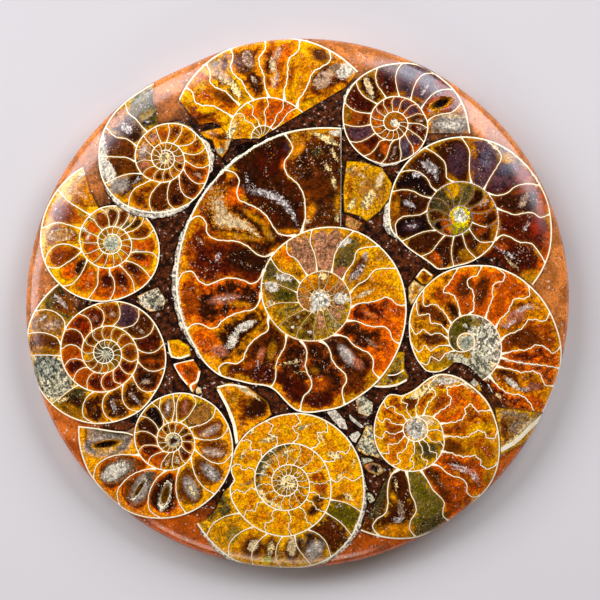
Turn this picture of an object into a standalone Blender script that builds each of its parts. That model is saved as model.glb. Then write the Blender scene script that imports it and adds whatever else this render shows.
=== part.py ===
"""Ammonite cluster plate: an oval slab of sandy resin with a polished, gently domed top. Eleven sawn ammonites and
the broken chips between them are bedded in it and ground flush with it.

The frame: origin at the middle of the flat underside, +Z up, +X along the plate's right and +Y towards its top edge.
Lengths are millimetres and angles are degrees until the last step, which turns them into Blender's metres."""

import math

import bmesh
import bpy

METRE = 0.001

# The plate
PLATE_RADIUS = 100.0
OVAL_SHARE = 0.015
OVAL_AXIS = 15.7
GROUND_FLAT = {"angle": 115.0, "depth": 1.0, "spread": 8.0}
PLATE_THICKNESS = 16.0
LAND_TOP = 8.0
FOOT_CHAMFER = 1.2
FLAT_TOP_SHARE = 0.62
SHOULDER_FULLNESS = 2.4
SHOULDER_ROUNDNESS = 1.8
SHOULDER_RINGS = (1.0, 0.98, 0.92, 0.8, 0.62, 0.36, 0.0)
PLATE_SIDES = 90

# How the fossils sit in it
BOND_GAP = 0.3
OUTLINE_STEP = 9.0
CUT_CLEARANCE = 3.0
UNDERSIDE_START = 0.55
UNDERSIDE_SHARE = 0.8

# Each ammonite: its navel, how deep its half shell reaches, its outer wall as (coil angle, radius) from the mouth
# inwards, and the edge that closes it from the wall's inner end back to the mouth. Coil angles run anticlockwise.
AMMONITES = {
    "ammonite_centre": {
        "navel": (8.4, 1.2),
        "depth": 10.4,
        "wall": [
            (83, 64.4), (100, 63.7), (130, 59.5), (160, 55.8), (180, 53.3), (200, 50.2), (213, 48.2), (222, 44.6),
            (232, 40.4), (243, 37.8), (251, 38.9), (258, 41.8), (270, 41.5), (290, 39.0), (310, 36.6), (330, 34.6),
            (360, 32.0), (390, 30.6), (420, 29.1), (434, 28.4),
        ],
        "edge": [],
    },
    "ammonite_upper_left": {
        "navel": (-49.2, 53.9),
        "depth": 7.6,
        "wall": [
            (99, 28.4), (110, 27.0), (125, 26.0), (140, 25.6), (160, 25.3), (180, 25.0), (205, 24.6), (220, 23.8),
            (235, 22.7), (255, 22.6), (275, 22.2), (287, 20.8), (294, 19.5), (320, 18.5), (345, 17.6), (360, 18.1),
            (375, 17.2), (385, 15.5), (400, 14.8), (430, 13.9), (462, 12.8),
        ],
        "edge": [(101, 18.0), (102, 22.0)],
    },
    "ammonite_top_right": {
        "navel": (35.8, 66.9),
        "depth": 7.2,
        "wall": [
            (352.5, 28.4), (360, 27.7), (370, 27.2), (380, 26.6), (390, 25.8), (400, 24.9), (415, 24.2), (435, 23.2),
            (450, 22.4), (480, 21.3), (505, 20.9), (520, 20.0), (540, 18.9), (570, 17.5), (600, 16.3), (625, 15.6),
            (642, 14.7), (670, 14.1), (690, 13.5), (703.6, 13.1),
        ],
        "edge": [],
    },
    "ammonite_left": {
        "navel": (-68.9, 22.3),
        "depth": 7.8,
        "wall": [
            (111, 30.3), (125, 29.5), (140, 28.6), (160, 27.7), (180, 26.8), (200, 26.0), (220, 24.9), (240, 23.5),
            (258, 21.9), (270, 21.1), (290, 20.2), (310, 19.6), (330, 19.0), (360, 17.4), (380, 16.5), (410, 15.3),
            (440, 14.2), (471, 13.7),
        ],
        "edge": [(112.5, 18.0), (113.5, 22.0), (111.5, 27.0)],
    },
    "ammonite_lower_left": {
        "navel": (-71.1, -18.9),
        "depth": 8.2,
        "wall": [
            (124, 31.6), (140, 31.4), (160, 30.8), (172, 29.9), (185, 28.9), (200, 28.6), (220, 28.0), (240, 27.2),
            (260, 26.4), (280, 25.3), (300, 24.5), (312, 23.9), (322, 23.0), (340, 22.7), (360, 22.2), (385, 21.7),
            (415, 21.0), (440, 19.9), (460, 18.9), (483, 18.4),
        ],
        "edge": [],
    },
    "ammonite_bottom_left": {
        "navel": (-46.2, -51.2),
        "depth": 8.6,
        "wall": [
            (171, 35.6), (190, 34.6), (210, 33.1), (225, 32.3), (240, 31.4), (255, 29.9), (270, 28.4), (290, 26.3),
            (310, 24.9), (330, 23.7), (360, 21.9), (390, 20.4), (420, 19.0), (450, 17.4), (480, 16.3), (500, 15.6),
            (519, 15.0),
        ],
        "edge": [(168.5, 17.5), (170, 22.0), (170.5, 30.0)],
    },
    "ammonite_bottom": {
        "navel": (-3.5, -66.7),
        "depth": 9.2,
        "wall": [
            (204, 37.2), (215, 37.4), (230, 36.6), (245, 35.0), (258, 33.6), (270, 32.9), (285, 33.0), (300, 33.4),
            (320, 32.2), (340, 30.4), (360, 28.6), (385, 27.8), (410, 27.4), (430, 26.9), (450, 25.5), (475, 24.2),
            (500, 23.3), (520, 22.4), (530, 21.4), (536.5, 20.2), (543, 21.5),
        ],
        "edge": [(188, 24.0), (195, 26.5), (200, 28.5), (203, 31.5), (204.5, 34.5)],
    },
    "ammonite_upper_right": {
        "navel": (60.3, 32.0),
        "depth": 9.0,
        "wall": [
            (317, 36.9), (330, 36.3), (345, 35.3), (360, 34.2), (375, 33.1), (390, 32.0), (410, 31.3), (440, 30.3),
            (470, 29.4), (500, 28.5), (515, 27.8), (530, 27.0), (541, 28.2), (550, 27.6), (560, 23.9), (575, 22.0),
            (583, 20.8), (600, 20.7), (606, 21.0), (614, 20.4), (624, 18.5), (640, 17.4), (657, 16.6),
        ],
        "edge": [(303, 17.9), (312.8, 20.2), (311.9, 23.9), (312.8, 27.3), (315.5, 31.8)],
    },
    "ammonite_right": {
        "navel": (62.5, -14.4),
        "depth": 9.0,
        "wall": [
            (318, 39.2), (335, 37.3), (350, 36.5), (365, 35.0), (390, 32.8), (420, 30.5), (450, 28.3), (480, 25.9),
            (510, 23.5), (530, 21.4), (550, 19.8), (570, 18.5), (577, 18.0), (583, 16.4), (589, 14.6), (594, 12.2),
        ],
        "edge": [
            (241, 8.5), (259, 7.9), (279, 9.4), (289, 12.6), (294.8, 15.9), (299.7, 18.0), (298.6, 23.3),
            (301.2, 26.5), (305.3, 29.6), (311.4, 33.1),
        ],
    },
    "ammonite_bottom_right": {
        "navel": (44.0, -46.7),
        "depth": 9.0,
        "wall": [
            (241.5, 43.4), (255, 42.6), (268, 41.5), (280, 39.2), (290, 37.1), (305, 35.6), (320, 35.0), (332, 34.1),
            (345, 32.5), (360, 30.7), (375, 29.0), (390, 27.0), (405, 25.2), (418, 23.5), (430, 21.2), (438, 18.2),
            (448, 15.2), (458, 13.9), (475, 13.5), (482, 14.7), (488, 16.4), (505, 15.8), (530, 15.7), (560, 16.2),
            (590, 16.5), (600, 16.5),
        ],
        "edge": [(238, 19.0), (239.5, 24.0), (241, 30.0), (241, 38.0)],
    },
    "ammonite_top": {
        "navel": (-12.8, 61.3),
        "depth": 8.8,
        "wall": [
            (35.2, 43.1), (45, 42.2), (60, 40.7), (70, 39.5), (80, 38.3), (90, 37.4), (105, 36.6), (120, 35.9),
            (135, 35.2), (155, 34.5),
        ],
        "edge": [
            (163, 27.5), (168.3, 24.0), (165.5, 22.2), (162.3, 19.5), (163.2, 16.7), (169.6, 14.3), (180, 13.4),
            (182, 10.4), (180, 7.4), (191, 1.9), (31.9, 35.9),
        ],
    },
}

# Broken pieces that fill the spaces: outlines as (x, y) from the plate's middle.
# The one at the plate's edge is bedded deeper, because the top is lower there.
FRAGMENT_DEPTH = 4.4
RIM_FRAGMENT_DEPTH = 9.0
FRAGMENTS = {
    "fragment_wedge": [
        (18.3, 52.9), (24.3, 52.5), (31.4, 50.2), (35.0, 44.4), (34.3, 39.4), (30.8, 34.4), (25.8, 30.3),
        (22.8, 32.4), (17.3, 33.9), (16.9, 42.4),
    ],
    "fragment_cream": [(18.0, 33.0), (24.3, 29.8), (22.1, 26.6), (17.6, 28.0)],
    "fragment_upper_left": [
        (-36.6, 63.5), (-30.3, 65.0), (-26.5, 65.4), (-24.0, 62.4), (-25.8, 57.0), (-28.0, 53.9), (-30.0, 55.8),
        (-31.7, 60.6), (-34.3, 61.3),
    ],
    "fragment_left_high": [
        (-48.3, -13.7), (-44.0, -13.4), (-40.1, -15.9), (-39.4, -19.7), (-43.7, -20.8), (-46.9, -20.1), (-47.9, -17.3),
    ],
    "fragment_left_low": [
        (-46.2, -22.6), (-42.2, -21.6), (-38.7, -20.8), (-35.9, -25.1), (-36.9, -29.4), (-38.6, -33.6), (-41.4, -30.0),
        (-43.7, -27.2),
    ],
    "fragment_lower_left": [
        (-30.5, -31.1), (-25.6, -29.4), (-18.8, -30.8), (-11.0, -36.5), (-9.6, -41.4), (-13.1, -44.3), (-18.9, -48.6),
        (-22.8, -53.0), (-24.1, -45.2), (-26.5, -38.6),
    ],
    "fragment_hook": [
        (28.0, -30.8), (32.2, -25.8), (37.2, -18.0), (39.7, -18.0), (39.7, -24.4), (41.4, -27.2), (40.3, -29.4),
        (34.3, -31.5), (29.4, -31.2),
    ],
    "fragment_rim_right": [
        (73.3, -38.6), (86.5, -40.0), (92.5, -41.4), (91.5, -46.0), (86.2, -51.4), (75.3, -57.0), (74.8, -51.4),
    ],
    "chip_brown": [(43.6, 9.5), (46.8, 13.4), (50.6, 10.5), (49.2, 6.8), (46.2, 7.1)],
    "chip_yellow": [(41.1, 6.0), (43.2, 8.7), (46.2, 6.6), (48.8, 6.3), (44.7, 1.2), (42.1, -0.7), (41.2, 1.2)],
    "chip_green": [(21.3, -35.2), (24.3, -34.2), (28.0, -37.0), (27.7, -40.8), (25.8, -42.2), (22.5, -40.8)],
    "chip_pyrite": [
        (21.3, -53.4), (23.6, -49.7), (25.4, -45.2), (27.7, -45.2), (28.8, -50.8), (29.9, -55.2), (31.7, -58.2),
        (28.8, -57.1), (25.1, -56.4), (22.1, -54.5),
    ],
    "chip_white": [(10.2, -39.6), (13.2, -38.5), (17.6, -43.4), (18.7, -47.1), (15.8, -46.3), (13.2, -43.4)],
    "chip_glassy": [(24.3, -60.1), (27.7, -58.9), (30.6, -59.8), (32.5, -62.4), (29.9, -64.1), (26.2, -62.7)],
    "chip_honey": [(64.0, -29.6), (65.5, -27.8), (67.7, -30.0), (68.5, -32.6), (66.3, -32.6)],
    "patch_calcite": [
        (-59.6, 2.7), (-54.8, 4.9), (-51.8, 6.0), (-48.8, 1.2), (-49.9, -2.5), (-54.8, -3.3), (-58.5, -0.7),
    ],
}

# Open hollows: crystal-lined vugs inside chambers, and the hole that the resin left beside the top ammonite.
VUGS = {
    "ammonite_top_right": [{"at": (51.5, 74.2), "length": 5.0, "width": 2.1, "turn": 28.0, "depth": 3.0}],
    "ammonite_bottom_left": [
        {"at": (-70.2, -52.1), "length": 7.0, "width": 2.0, "turn": 6.0, "depth": 3.0},
        {"at": (-58.9, -69.4), "length": 6.4, "width": 2.0, "turn": 60.0, "depth": 2.0},
        {"at": (-49.2, -71.4), "length": 9.4, "width": 4.4, "turn": 80.0, "depth": 2.6},
    ],
}
RESIN_HOLES = [{"at": (-20.2, 57.4), "length": 9.0, "width": 3.6, "turn": 24.0, "depth": 4.0}]
HOLLOW_SIDES = 12
HOLLOW_FLOOR_SHARE = 0.6

# Colours of the finishes: red, green, blue and roughness
FINISHES = {
    "sandy_resin": (0.36, 0.13, 0.06, 0.32),
    "amber_calcite": (0.78, 0.32, 0.03, 0.2),
    "cognac_calcite": (0.36, 0.10, 0.02, 0.2),
    "cream_shell": (0.82, 0.76, 0.58, 0.35),
    "olive_mudstone": (0.26, 0.24, 0.07, 0.35),
    "pyrite_crust": (0.42, 0.40, 0.30, 0.5),
}
FINISH_OF = {
    "ammonite_centre": "cognac_calcite",
    "ammonite_upper_right": "cognac_calcite",
    "ammonite_top_right": "cognac_calcite",
    "fragment_cream": "cream_shell",
    "patch_calcite": "cream_shell",
    "chip_white": "cream_shell",
    "chip_green": "olive_mudstone",
    "chip_brown": "cognac_calcite",
    "chip_pyrite": "pyrite_crust",
}


def clear_scene():
    """Removes whatever the scene holds when the script starts."""
    for obj in list(bpy.data.objects):
        bpy.data.objects.remove(obj)


def finish(name):
    """The Principled material of that name, made once."""
    if name in bpy.data.materials:
        return bpy.data.materials[name]
    red, green, blue, roughness = FINISHES[name]
    material = bpy.data.materials.new(name)
    material.use_nodes = True
    shader = material.node_tree.nodes["Principled BSDF"]
    shader.inputs["Base Color"].default_value = (red, green, blue, 1.0)
    shader.inputs["Roughness"].default_value = roughness
    shader.inputs["Metallic"].default_value = 0.0
    return material


def plate_edge(angle):
    """The plate's radius at an angle: a slight oval with one spot ground flatter."""
    swing = (angle - GROUND_FLAT["angle"] + 180.0) % 360.0 - 180.0
    flat = GROUND_FLAT["depth"] * math.exp(-((swing / GROUND_FLAT["spread"]) ** 2))
    return PLATE_RADIUS * (1.0 + OVAL_SHARE * math.cos(math.radians(2.0 * (angle - OVAL_AXIS)))) - flat


def shoulder_height(share):
    """Height of the polished top, for a share of the way from the flat middle (0) out to the edge (1)."""
    rise = (1.0 - share**SHOULDER_FULLNESS) ** (1.0 / SHOULDER_ROUNDNESS)
    return LAND_TOP + (PLATE_THICKNESS - LAND_TOP) * rise


def ring(radius_share, height, inset=0.0):
    """Points round the plate at a share of its edge radius, less an inset, at one height."""
    points = []
    for side in range(PLATE_SIDES):
        angle = 360.0 * side / PLATE_SIDES
        radius = radius_share * plate_edge(angle) - inset
        points.append((radius * math.cos(math.radians(angle)), radius * math.sin(math.radians(angle)), height))
    return points


def lofted(name, rings):
    """A closed solid through rings of points, first ring lowest, with a flat cap at each end."""
    mesh = bmesh.new()
    loops = [[mesh.verts.new([METRE * value for value in point]) for point in points] for points in rings]
    for low, high in zip(loops, loops[1:]):
        for i in range(len(low)):
            j = (i + 1) % len(low)
            mesh.faces.new((low[i], low[j], high[j], high[i]))
    mesh.faces.new(list(reversed(loops[0])))
    mesh.faces.new(loops[-1])
    data = bpy.data.meshes.new(name)
    mesh.to_mesh(data)
    mesh.free()
    obj = bpy.data.objects.new(name, data)
    bpy.context.scene.collection.objects.link(obj)
    return obj


def helper(obj):
    """Marks an object as a cutter, which isn't part of the plate."""
    obj.hide_render = True
    obj.display_type = "WIRE"
    return obj


def boolean(obj, other, operation):
    """Adds an exact Boolean of that operation to obj."""
    modifier = obj.modifiers.new(f"{operation.lower()} {other.name}", "BOOLEAN")
    modifier.operation = operation
    modifier.solver = "EXACT"
    modifier.object = other


def plate_blank(name):
    """The whole plate before anything is bedded in it: chamfered foot, upright land, shoulder and flat top."""
    rings = [ring(1.0, 0.0, inset=FOOT_CHAMFER), ring(1.0, FOOT_CHAMFER)]
    for share in SHOULDER_RINGS:
        rings.append(ring(FLAT_TOP_SHARE + (1.0 - FLAT_TOP_SHARE) * share, shoulder_height(share)))
    return lofted(name, rings)


def coil_radius(wall, angle):
    """The wall's radius at a coil angle: a smooth curve through the wall's points."""
    angles = [point[0] for point in wall]
    radii = [point[1] for point in wall]
    last = len(wall) - 1
    i = max(0, min(last - 1, sum(a <= angle for a in angles) - 1))

    def slope(k):
        before, after = max(0, k - 1), min(last, k + 1)
        return (radii[after] - radii[before]) / (angles[after] - angles[before])

    span = angles[i + 1] - angles[i]
    t = (angle - angles[i]) / span
    return (
        radii[i] * (1 + 2 * t) * (1 - t) ** 2
        + slope(i) * span * t * (1 - t) ** 2
        + radii[i + 1] * t * t * (3 - 2 * t)
        - slope(i + 1) * span * t * t * (1 - t)
    )


def polar(centre, angle, radius):
    """The point at that angle and distance from a centre."""
    turn = math.radians(angle)
    return (centre[0] + radius * math.cos(turn), centre[1] + radius * math.sin(turn))


def ammonite_outline(shell):
    """The sawn face's outline: once round the outer wall from the mouth, then back along the closing edge."""
    wall = shell["wall"]
    start, end = wall[0][0], wall[-1][0]
    count = math.ceil((end - start) / OUTLINE_STEP)
    angles = [start + (end - start) * i / count for i in range(count + 1)]
    points = [polar(shell["navel"], angle, coil_radius(wall, angle)) for angle in angles]
    return points + [polar(shell["navel"], angle, radius) for angle, radius in shell["edge"]]


def anticlockwise(outline):
    """The outline, turned round if it runs clockwise."""
    area = sum(a[0] * b[1] - b[0] * a[1] for a, b in zip(outline, outline[1:] + outline[:1]))
    return outline if area > 0 else outline[::-1]


def grown(outline, distance):
    """An anticlockwise outline with each corner moved out, so that its sides move out by about that distance."""
    moved = []
    for i, corner in enumerate(outline):
        before, after = outline[i - 1], outline[(i + 1) % len(outline)]
        normals = []
        for a, b in ((before, corner), (corner, after)):
            length = math.dist(a, b)
            normals.append(((b[1] - a[1]) / length, (a[0] - b[0]) / length))
        out = (normals[0][0] + normals[1][0], normals[0][1] + normals[1][1])
        size = max(math.hypot(*out), 1.0)
        reach = 2.0 * distance / size**2
        moved.append((corner[0] + out[0] * reach, corner[1] + out[1] * reach))
    return moved


def middle_of(outline):
    """The average of the outline's corners."""
    return tuple(sum(point[k] for point in outline) / len(outline) for k in (0, 1))


def half_shell(name, outline, depth, extra=0.0):
    """A solid under an outline: upright sides, then an underside drawn in like a half shell's back."""
    centre = middle_of(outline)
    rim = grown(outline, extra) if extra else outline
    base = [tuple(c + UNDERSIDE_SHARE * (p - c) for p, c in zip(point, centre)) for point in outline]
    base = grown(base, extra) if extra else base
    rim_low = PLATE_THICKNESS - UNDERSIDE_START * depth - extra
    rings = [
        [(*point, PLATE_THICKNESS - depth - extra) for point in base],
        [(*point, rim_low) for point in rim],
        [(*point, PLATE_THICKNESS + CUT_CLEARANCE) for point in rim],
    ]
    return lofted(name, rings)


def hollow(name, shape):
    """A cutter for one hollow: an oval cup that opens through the polished top."""
    top = []
    for side in range(HOLLOW_SIDES):
        turn = math.tau * side / HOLLOW_SIDES
        x, y = 0.5 * shape["length"] * math.cos(turn), 0.5 * shape["width"] * math.sin(turn)
        heading = math.radians(shape["turn"])
        top.append((x * math.cos(heading) - y * math.sin(heading), x * math.sin(heading) + y * math.cos(heading)))
    cx, cy = shape["at"]
    radius = math.hypot(cx, cy)
    edge = plate_edge(math.degrees(math.atan2(cy, cx)))
    share = max(0.0, (radius / edge - FLAT_TOP_SHARE) / (1.0 - FLAT_TOP_SHARE))
    floor = shoulder_height(share) - shape["depth"]
    rings = [
        [(cx + HOLLOW_FLOOR_SHARE * x, cy + HOLLOW_FLOOR_SHARE * y, floor) for x, y in top],
        [(cx + x, cy + y, PLATE_THICKNESS + CUT_CLEARANCE) for x, y in top],
    ]
    return helper(lofted(name, rings))


def boxes_meet(a, b, margin):
    """True if the boxes round two outlines come within a margin of each other."""
    return all(
        min(p[k] for p in a) < max(p[k] for p in b) + margin and min(p[k] for p in b) < max(p[k] for p in a) + margin
        for k in (0, 1)
    )


def bedded_pieces():
    """Every fossil as (name, anticlockwise outline, depth). An earlier one keeps its shape where two of them meet."""
    for name, shell in AMMONITES.items():
        yield name, anticlockwise(ammonite_outline(shell)), shell["depth"]
    for name, outline in FRAGMENTS.items():
        depth = RIM_FRAGMENT_DEPTH if name == "fragment_rim_right" else FRAGMENT_DEPTH
        yield name, anticlockwise(outline), depth


def build():
    """Beds every fossil in the plate, each in its own pocket."""
    clear_scene()
    blank = helper(plate_blank("plate_blank"))
    matrix = plate_blank("matrix_plate")
    matrix.data.materials.append(finish("sandy_resin"))
    placed = []
    for name, outline, depth in bedded_pieces():
        fossil = half_shell(name, outline, depth)
        fossil.data.materials.append(finish(FINISH_OF.get(name, "amber_calcite")))
        boolean(fossil, blank, "INTERSECT")
        for earlier, pocket in placed:
            if boxes_meet(outline, earlier, BOND_GAP):
                boolean(fossil, pocket, "DIFFERENCE")
        for number, shape in enumerate(VUGS.get(name, []), start=1):
            boolean(fossil, hollow(f"{name}_vug_{number}", shape), "DIFFERENCE")
        pocket = helper(half_shell(f"{name}_pocket", outline, depth, extra=BOND_GAP))
        boolean(matrix, pocket, "DIFFERENCE")
        placed.append((outline, pocket))
    for number, shape in enumerate(RESIN_HOLES, start=1):
        boolean(matrix, hollow(f"resin_hole_{number}", shape), "DIFFERENCE")


build()
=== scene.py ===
# %% [markdown]
# # An ammonite cluster plate
# The real thing is made from sawn ammonites. A lapidary beds the halves face up in sandy, rust-red resin,
# fills the spaces with broken crystal, and grinds and polishes the whole plate until everything is flush.
# What we see is a drawing made by nature: cream shell walls, and between them chambers full of crystal.
#
# So this lesson draws each sawn face as a flat drawing first, in millimetres, and then gives it a
# thickness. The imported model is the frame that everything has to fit.
# %% Load the frame
import math
import time

import bpy
import numpy as np
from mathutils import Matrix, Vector
from mathutils.geometry import delaunay_2d_cdt


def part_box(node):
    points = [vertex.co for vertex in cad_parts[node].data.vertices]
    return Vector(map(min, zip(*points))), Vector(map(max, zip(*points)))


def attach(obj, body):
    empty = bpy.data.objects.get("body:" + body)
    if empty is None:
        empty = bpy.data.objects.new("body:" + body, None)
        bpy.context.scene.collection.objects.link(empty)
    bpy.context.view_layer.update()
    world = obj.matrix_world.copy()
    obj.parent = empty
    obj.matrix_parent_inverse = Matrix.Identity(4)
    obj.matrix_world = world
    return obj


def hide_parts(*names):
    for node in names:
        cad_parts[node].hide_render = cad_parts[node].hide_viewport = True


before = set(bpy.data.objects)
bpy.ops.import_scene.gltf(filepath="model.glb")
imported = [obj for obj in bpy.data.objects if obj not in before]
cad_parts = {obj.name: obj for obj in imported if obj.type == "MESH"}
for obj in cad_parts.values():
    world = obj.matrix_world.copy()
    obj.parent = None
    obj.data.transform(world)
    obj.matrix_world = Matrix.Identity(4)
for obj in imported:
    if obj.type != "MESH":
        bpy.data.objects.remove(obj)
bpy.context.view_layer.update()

MM = 0.001
STARTED = time.time()

# %% [markdown]
# ## The plate's own form
# The plate is a slightly oval disc with one flatter spot, where it met the grinding wheel. Its polished top
# is level in the middle and rolls over near the edge. Everything else lies on that surface, so it is one
# function of x and y, and every piece asks it for its height. The numbers are the solid's own.
# %% The plate's edge and its polished top
PLATE_LOW, PLATE_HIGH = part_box("matrix_plate")
PLATE_THICKNESS = (PLATE_HIGH[2] - PLATE_LOW[2]) / MM
PLATE_RADIUS = 100.0
OVAL_SHARE = 0.015
OVAL_AXIS = 15.7
GROUND_FLAT = {"angle": 115.0, "depth": 1.0, "spread": 8.0}
LAND_TOP = 8.0
FOOT_CHAMFER = 1.2
FLAT_TOP_SHARE = 0.62
SHOULDER_FULLNESS = 2.4
SHOULDER_ROUNDNESS = 1.8


def plate_edge(angle):
    """The plate's radius at an angle in degrees."""
    swing = (angle - GROUND_FLAT["angle"] + 180.0) % 360.0 - 180.0
    flat = GROUND_FLAT["depth"] * np.exp(-((swing / GROUND_FLAT["spread"]) ** 2))
    return PLATE_RADIUS * (1.0 + OVAL_SHARE * np.cos(np.radians(2.0 * (angle - OVAL_AXIS)))) - flat


def rim_share(x, y):
    """How far out a point is: 0 at the middle, 1 at the plate's edge."""
    return np.hypot(x, y) / plate_edge(np.degrees(np.arctan2(y, x)))


def top_height(x, y):
    """Height of the polished top, in millimetres."""
    share = np.clip((rim_share(x, y) - FLAT_TOP_SHARE) / (1.0 - FLAT_TOP_SHARE), 0.0, 1.0)
    rise = (1.0 - share**SHOULDER_FULLNESS) ** (1.0 / SHOULDER_ROUNDNESS)
    return LAND_TOP + (PLATE_THICKNESS - LAND_TOP) * rise


print("thickness", round(PLATE_THICKNESS, 2), "mm, height on the shoulder", float(top_height(85.0, 0.0)))

# %% [markdown]
# ## The stone's colours
# Calcite that grew in the chambers runs from honey to nearly black, mud hardened to olive stone, and pyrite
# left grey grainy crusts. Each colour has a short name and a grain: 0 for clear glassy crystal, 1 for a
# coarse crust. The chambers below are filled by these names, which keeps a hundred fills easy to read and
# to change.
# %% Colour names
STONE = {
    "ink": ((26, 12, 9), 0.0),
    "umber": ((62, 27, 12), 0.0),
    "maroon": ((84, 26, 12), 0.0),
    "cognac": ((122, 52, 10), 0.0),
    "rust": ((168, 70, 8), 0.0),
    "orange": ((228, 94, 4), 0.0),
    "amber": ((232, 138, 8), 0.1),
    "honey": ((248, 176, 14), 0.1),
    "gold": ((206, 132, 14), 0.4),
    "lemon": ((226, 212, 50), 0.1),
    "tan": ((168, 118, 72), 0.55),
    "sand": ((204, 158, 96), 0.7),
    "rose": ((196, 128, 104), 0.35),
    "olive": ((122, 104, 60), 0.3),
    "moss": ((84, 74, 44), 0.25),
    "khaki": ((150, 122, 62), 0.55),
    "putty": ((196, 190, 158), 1.0),
    "bone": ((222, 214, 192), 0.6),
    "frost": ((242, 234, 224), 0.3),
    "sugar": ((232, 200, 168), 0.3),
    "russet": ((122, 66, 34), 0.2),
    "cream": ((255, 248, 216), 0.5),
    "steel": ((112, 104, 116), 0.2),
    "plum": ((88, 58, 62), 0.15),
    "bark": ((84, 44, 24), 0.1),
    "crumb": ((242, 218, 158), 0.9),
    "clay": ((192, 140, 108), 0.5),
    "taupe": ((158, 134, 108), 0.3),
    "oat": ((230, 206, 160), 0.5),
    "blush": ((236, 196, 162), 0.3),
    "mauve": ((116, 80, 84), 0.15),
    "haze": ((208, 194, 176), 0.3),
    "fern": ((106, 94, 38), 0.05),
    "ruby": ((168, 56, 40), 0.1),
    "sage": ((190, 192, 166), 0.3),
}


def linear(rgb):
    """Screen colour, 0 to 255, as the linear light that a shader takes."""
    share = np.array(rgb, float) / 255.0
    return np.where(share <= 0.04045, share / 12.92, ((share + 0.055) / 1.055) ** 2.4)


VEILED = ("frost", "sugar")
LINEAR = {name: linear(rgb) for name, (rgb, grain) in STONE.items()}
GRAIN = {name: grain for name, (rgb, grain) in STONE.items()}
print(len(STONE), "stone colours")

# %% [markdown]
# ## Eleven coils
# A sawn ammonite is a spiral wall crossed by septa, the thin partitions that the animal left behind it as
# it grew. A spiral is simple to write as the wall's distance from the navel at a growing angle, so each
# ammonite is a short list of knots, an angle in degrees and a radius in millimetres, from the mouth
# inwards, and a smooth curve runs through them. Septa are written the same way, by the few places where
# each one bends. The chambers are filled by name, counted from the mouth: a body, a glow near the walls
# and, for some, a heart of pale crystal.
#
# The centre ammonite is the largest. It's nearly black where the calcite is thickest.
# %% The centre ammonite
COILS = {}


def every(step, start, *radii):
    """Knots at an even step of the coil angle, from the first one on."""
    return [(start + step * k, radius) for k, radius in enumerate(radii)]


def say_written(name):
    """Prints how much of an ammonite is written out."""
    coil = COILS[name]
    print(name, len(coil["wall"]), "knots,", len(coil["septa"]), "septa,", len(coil["fills"]), "fills")


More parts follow.
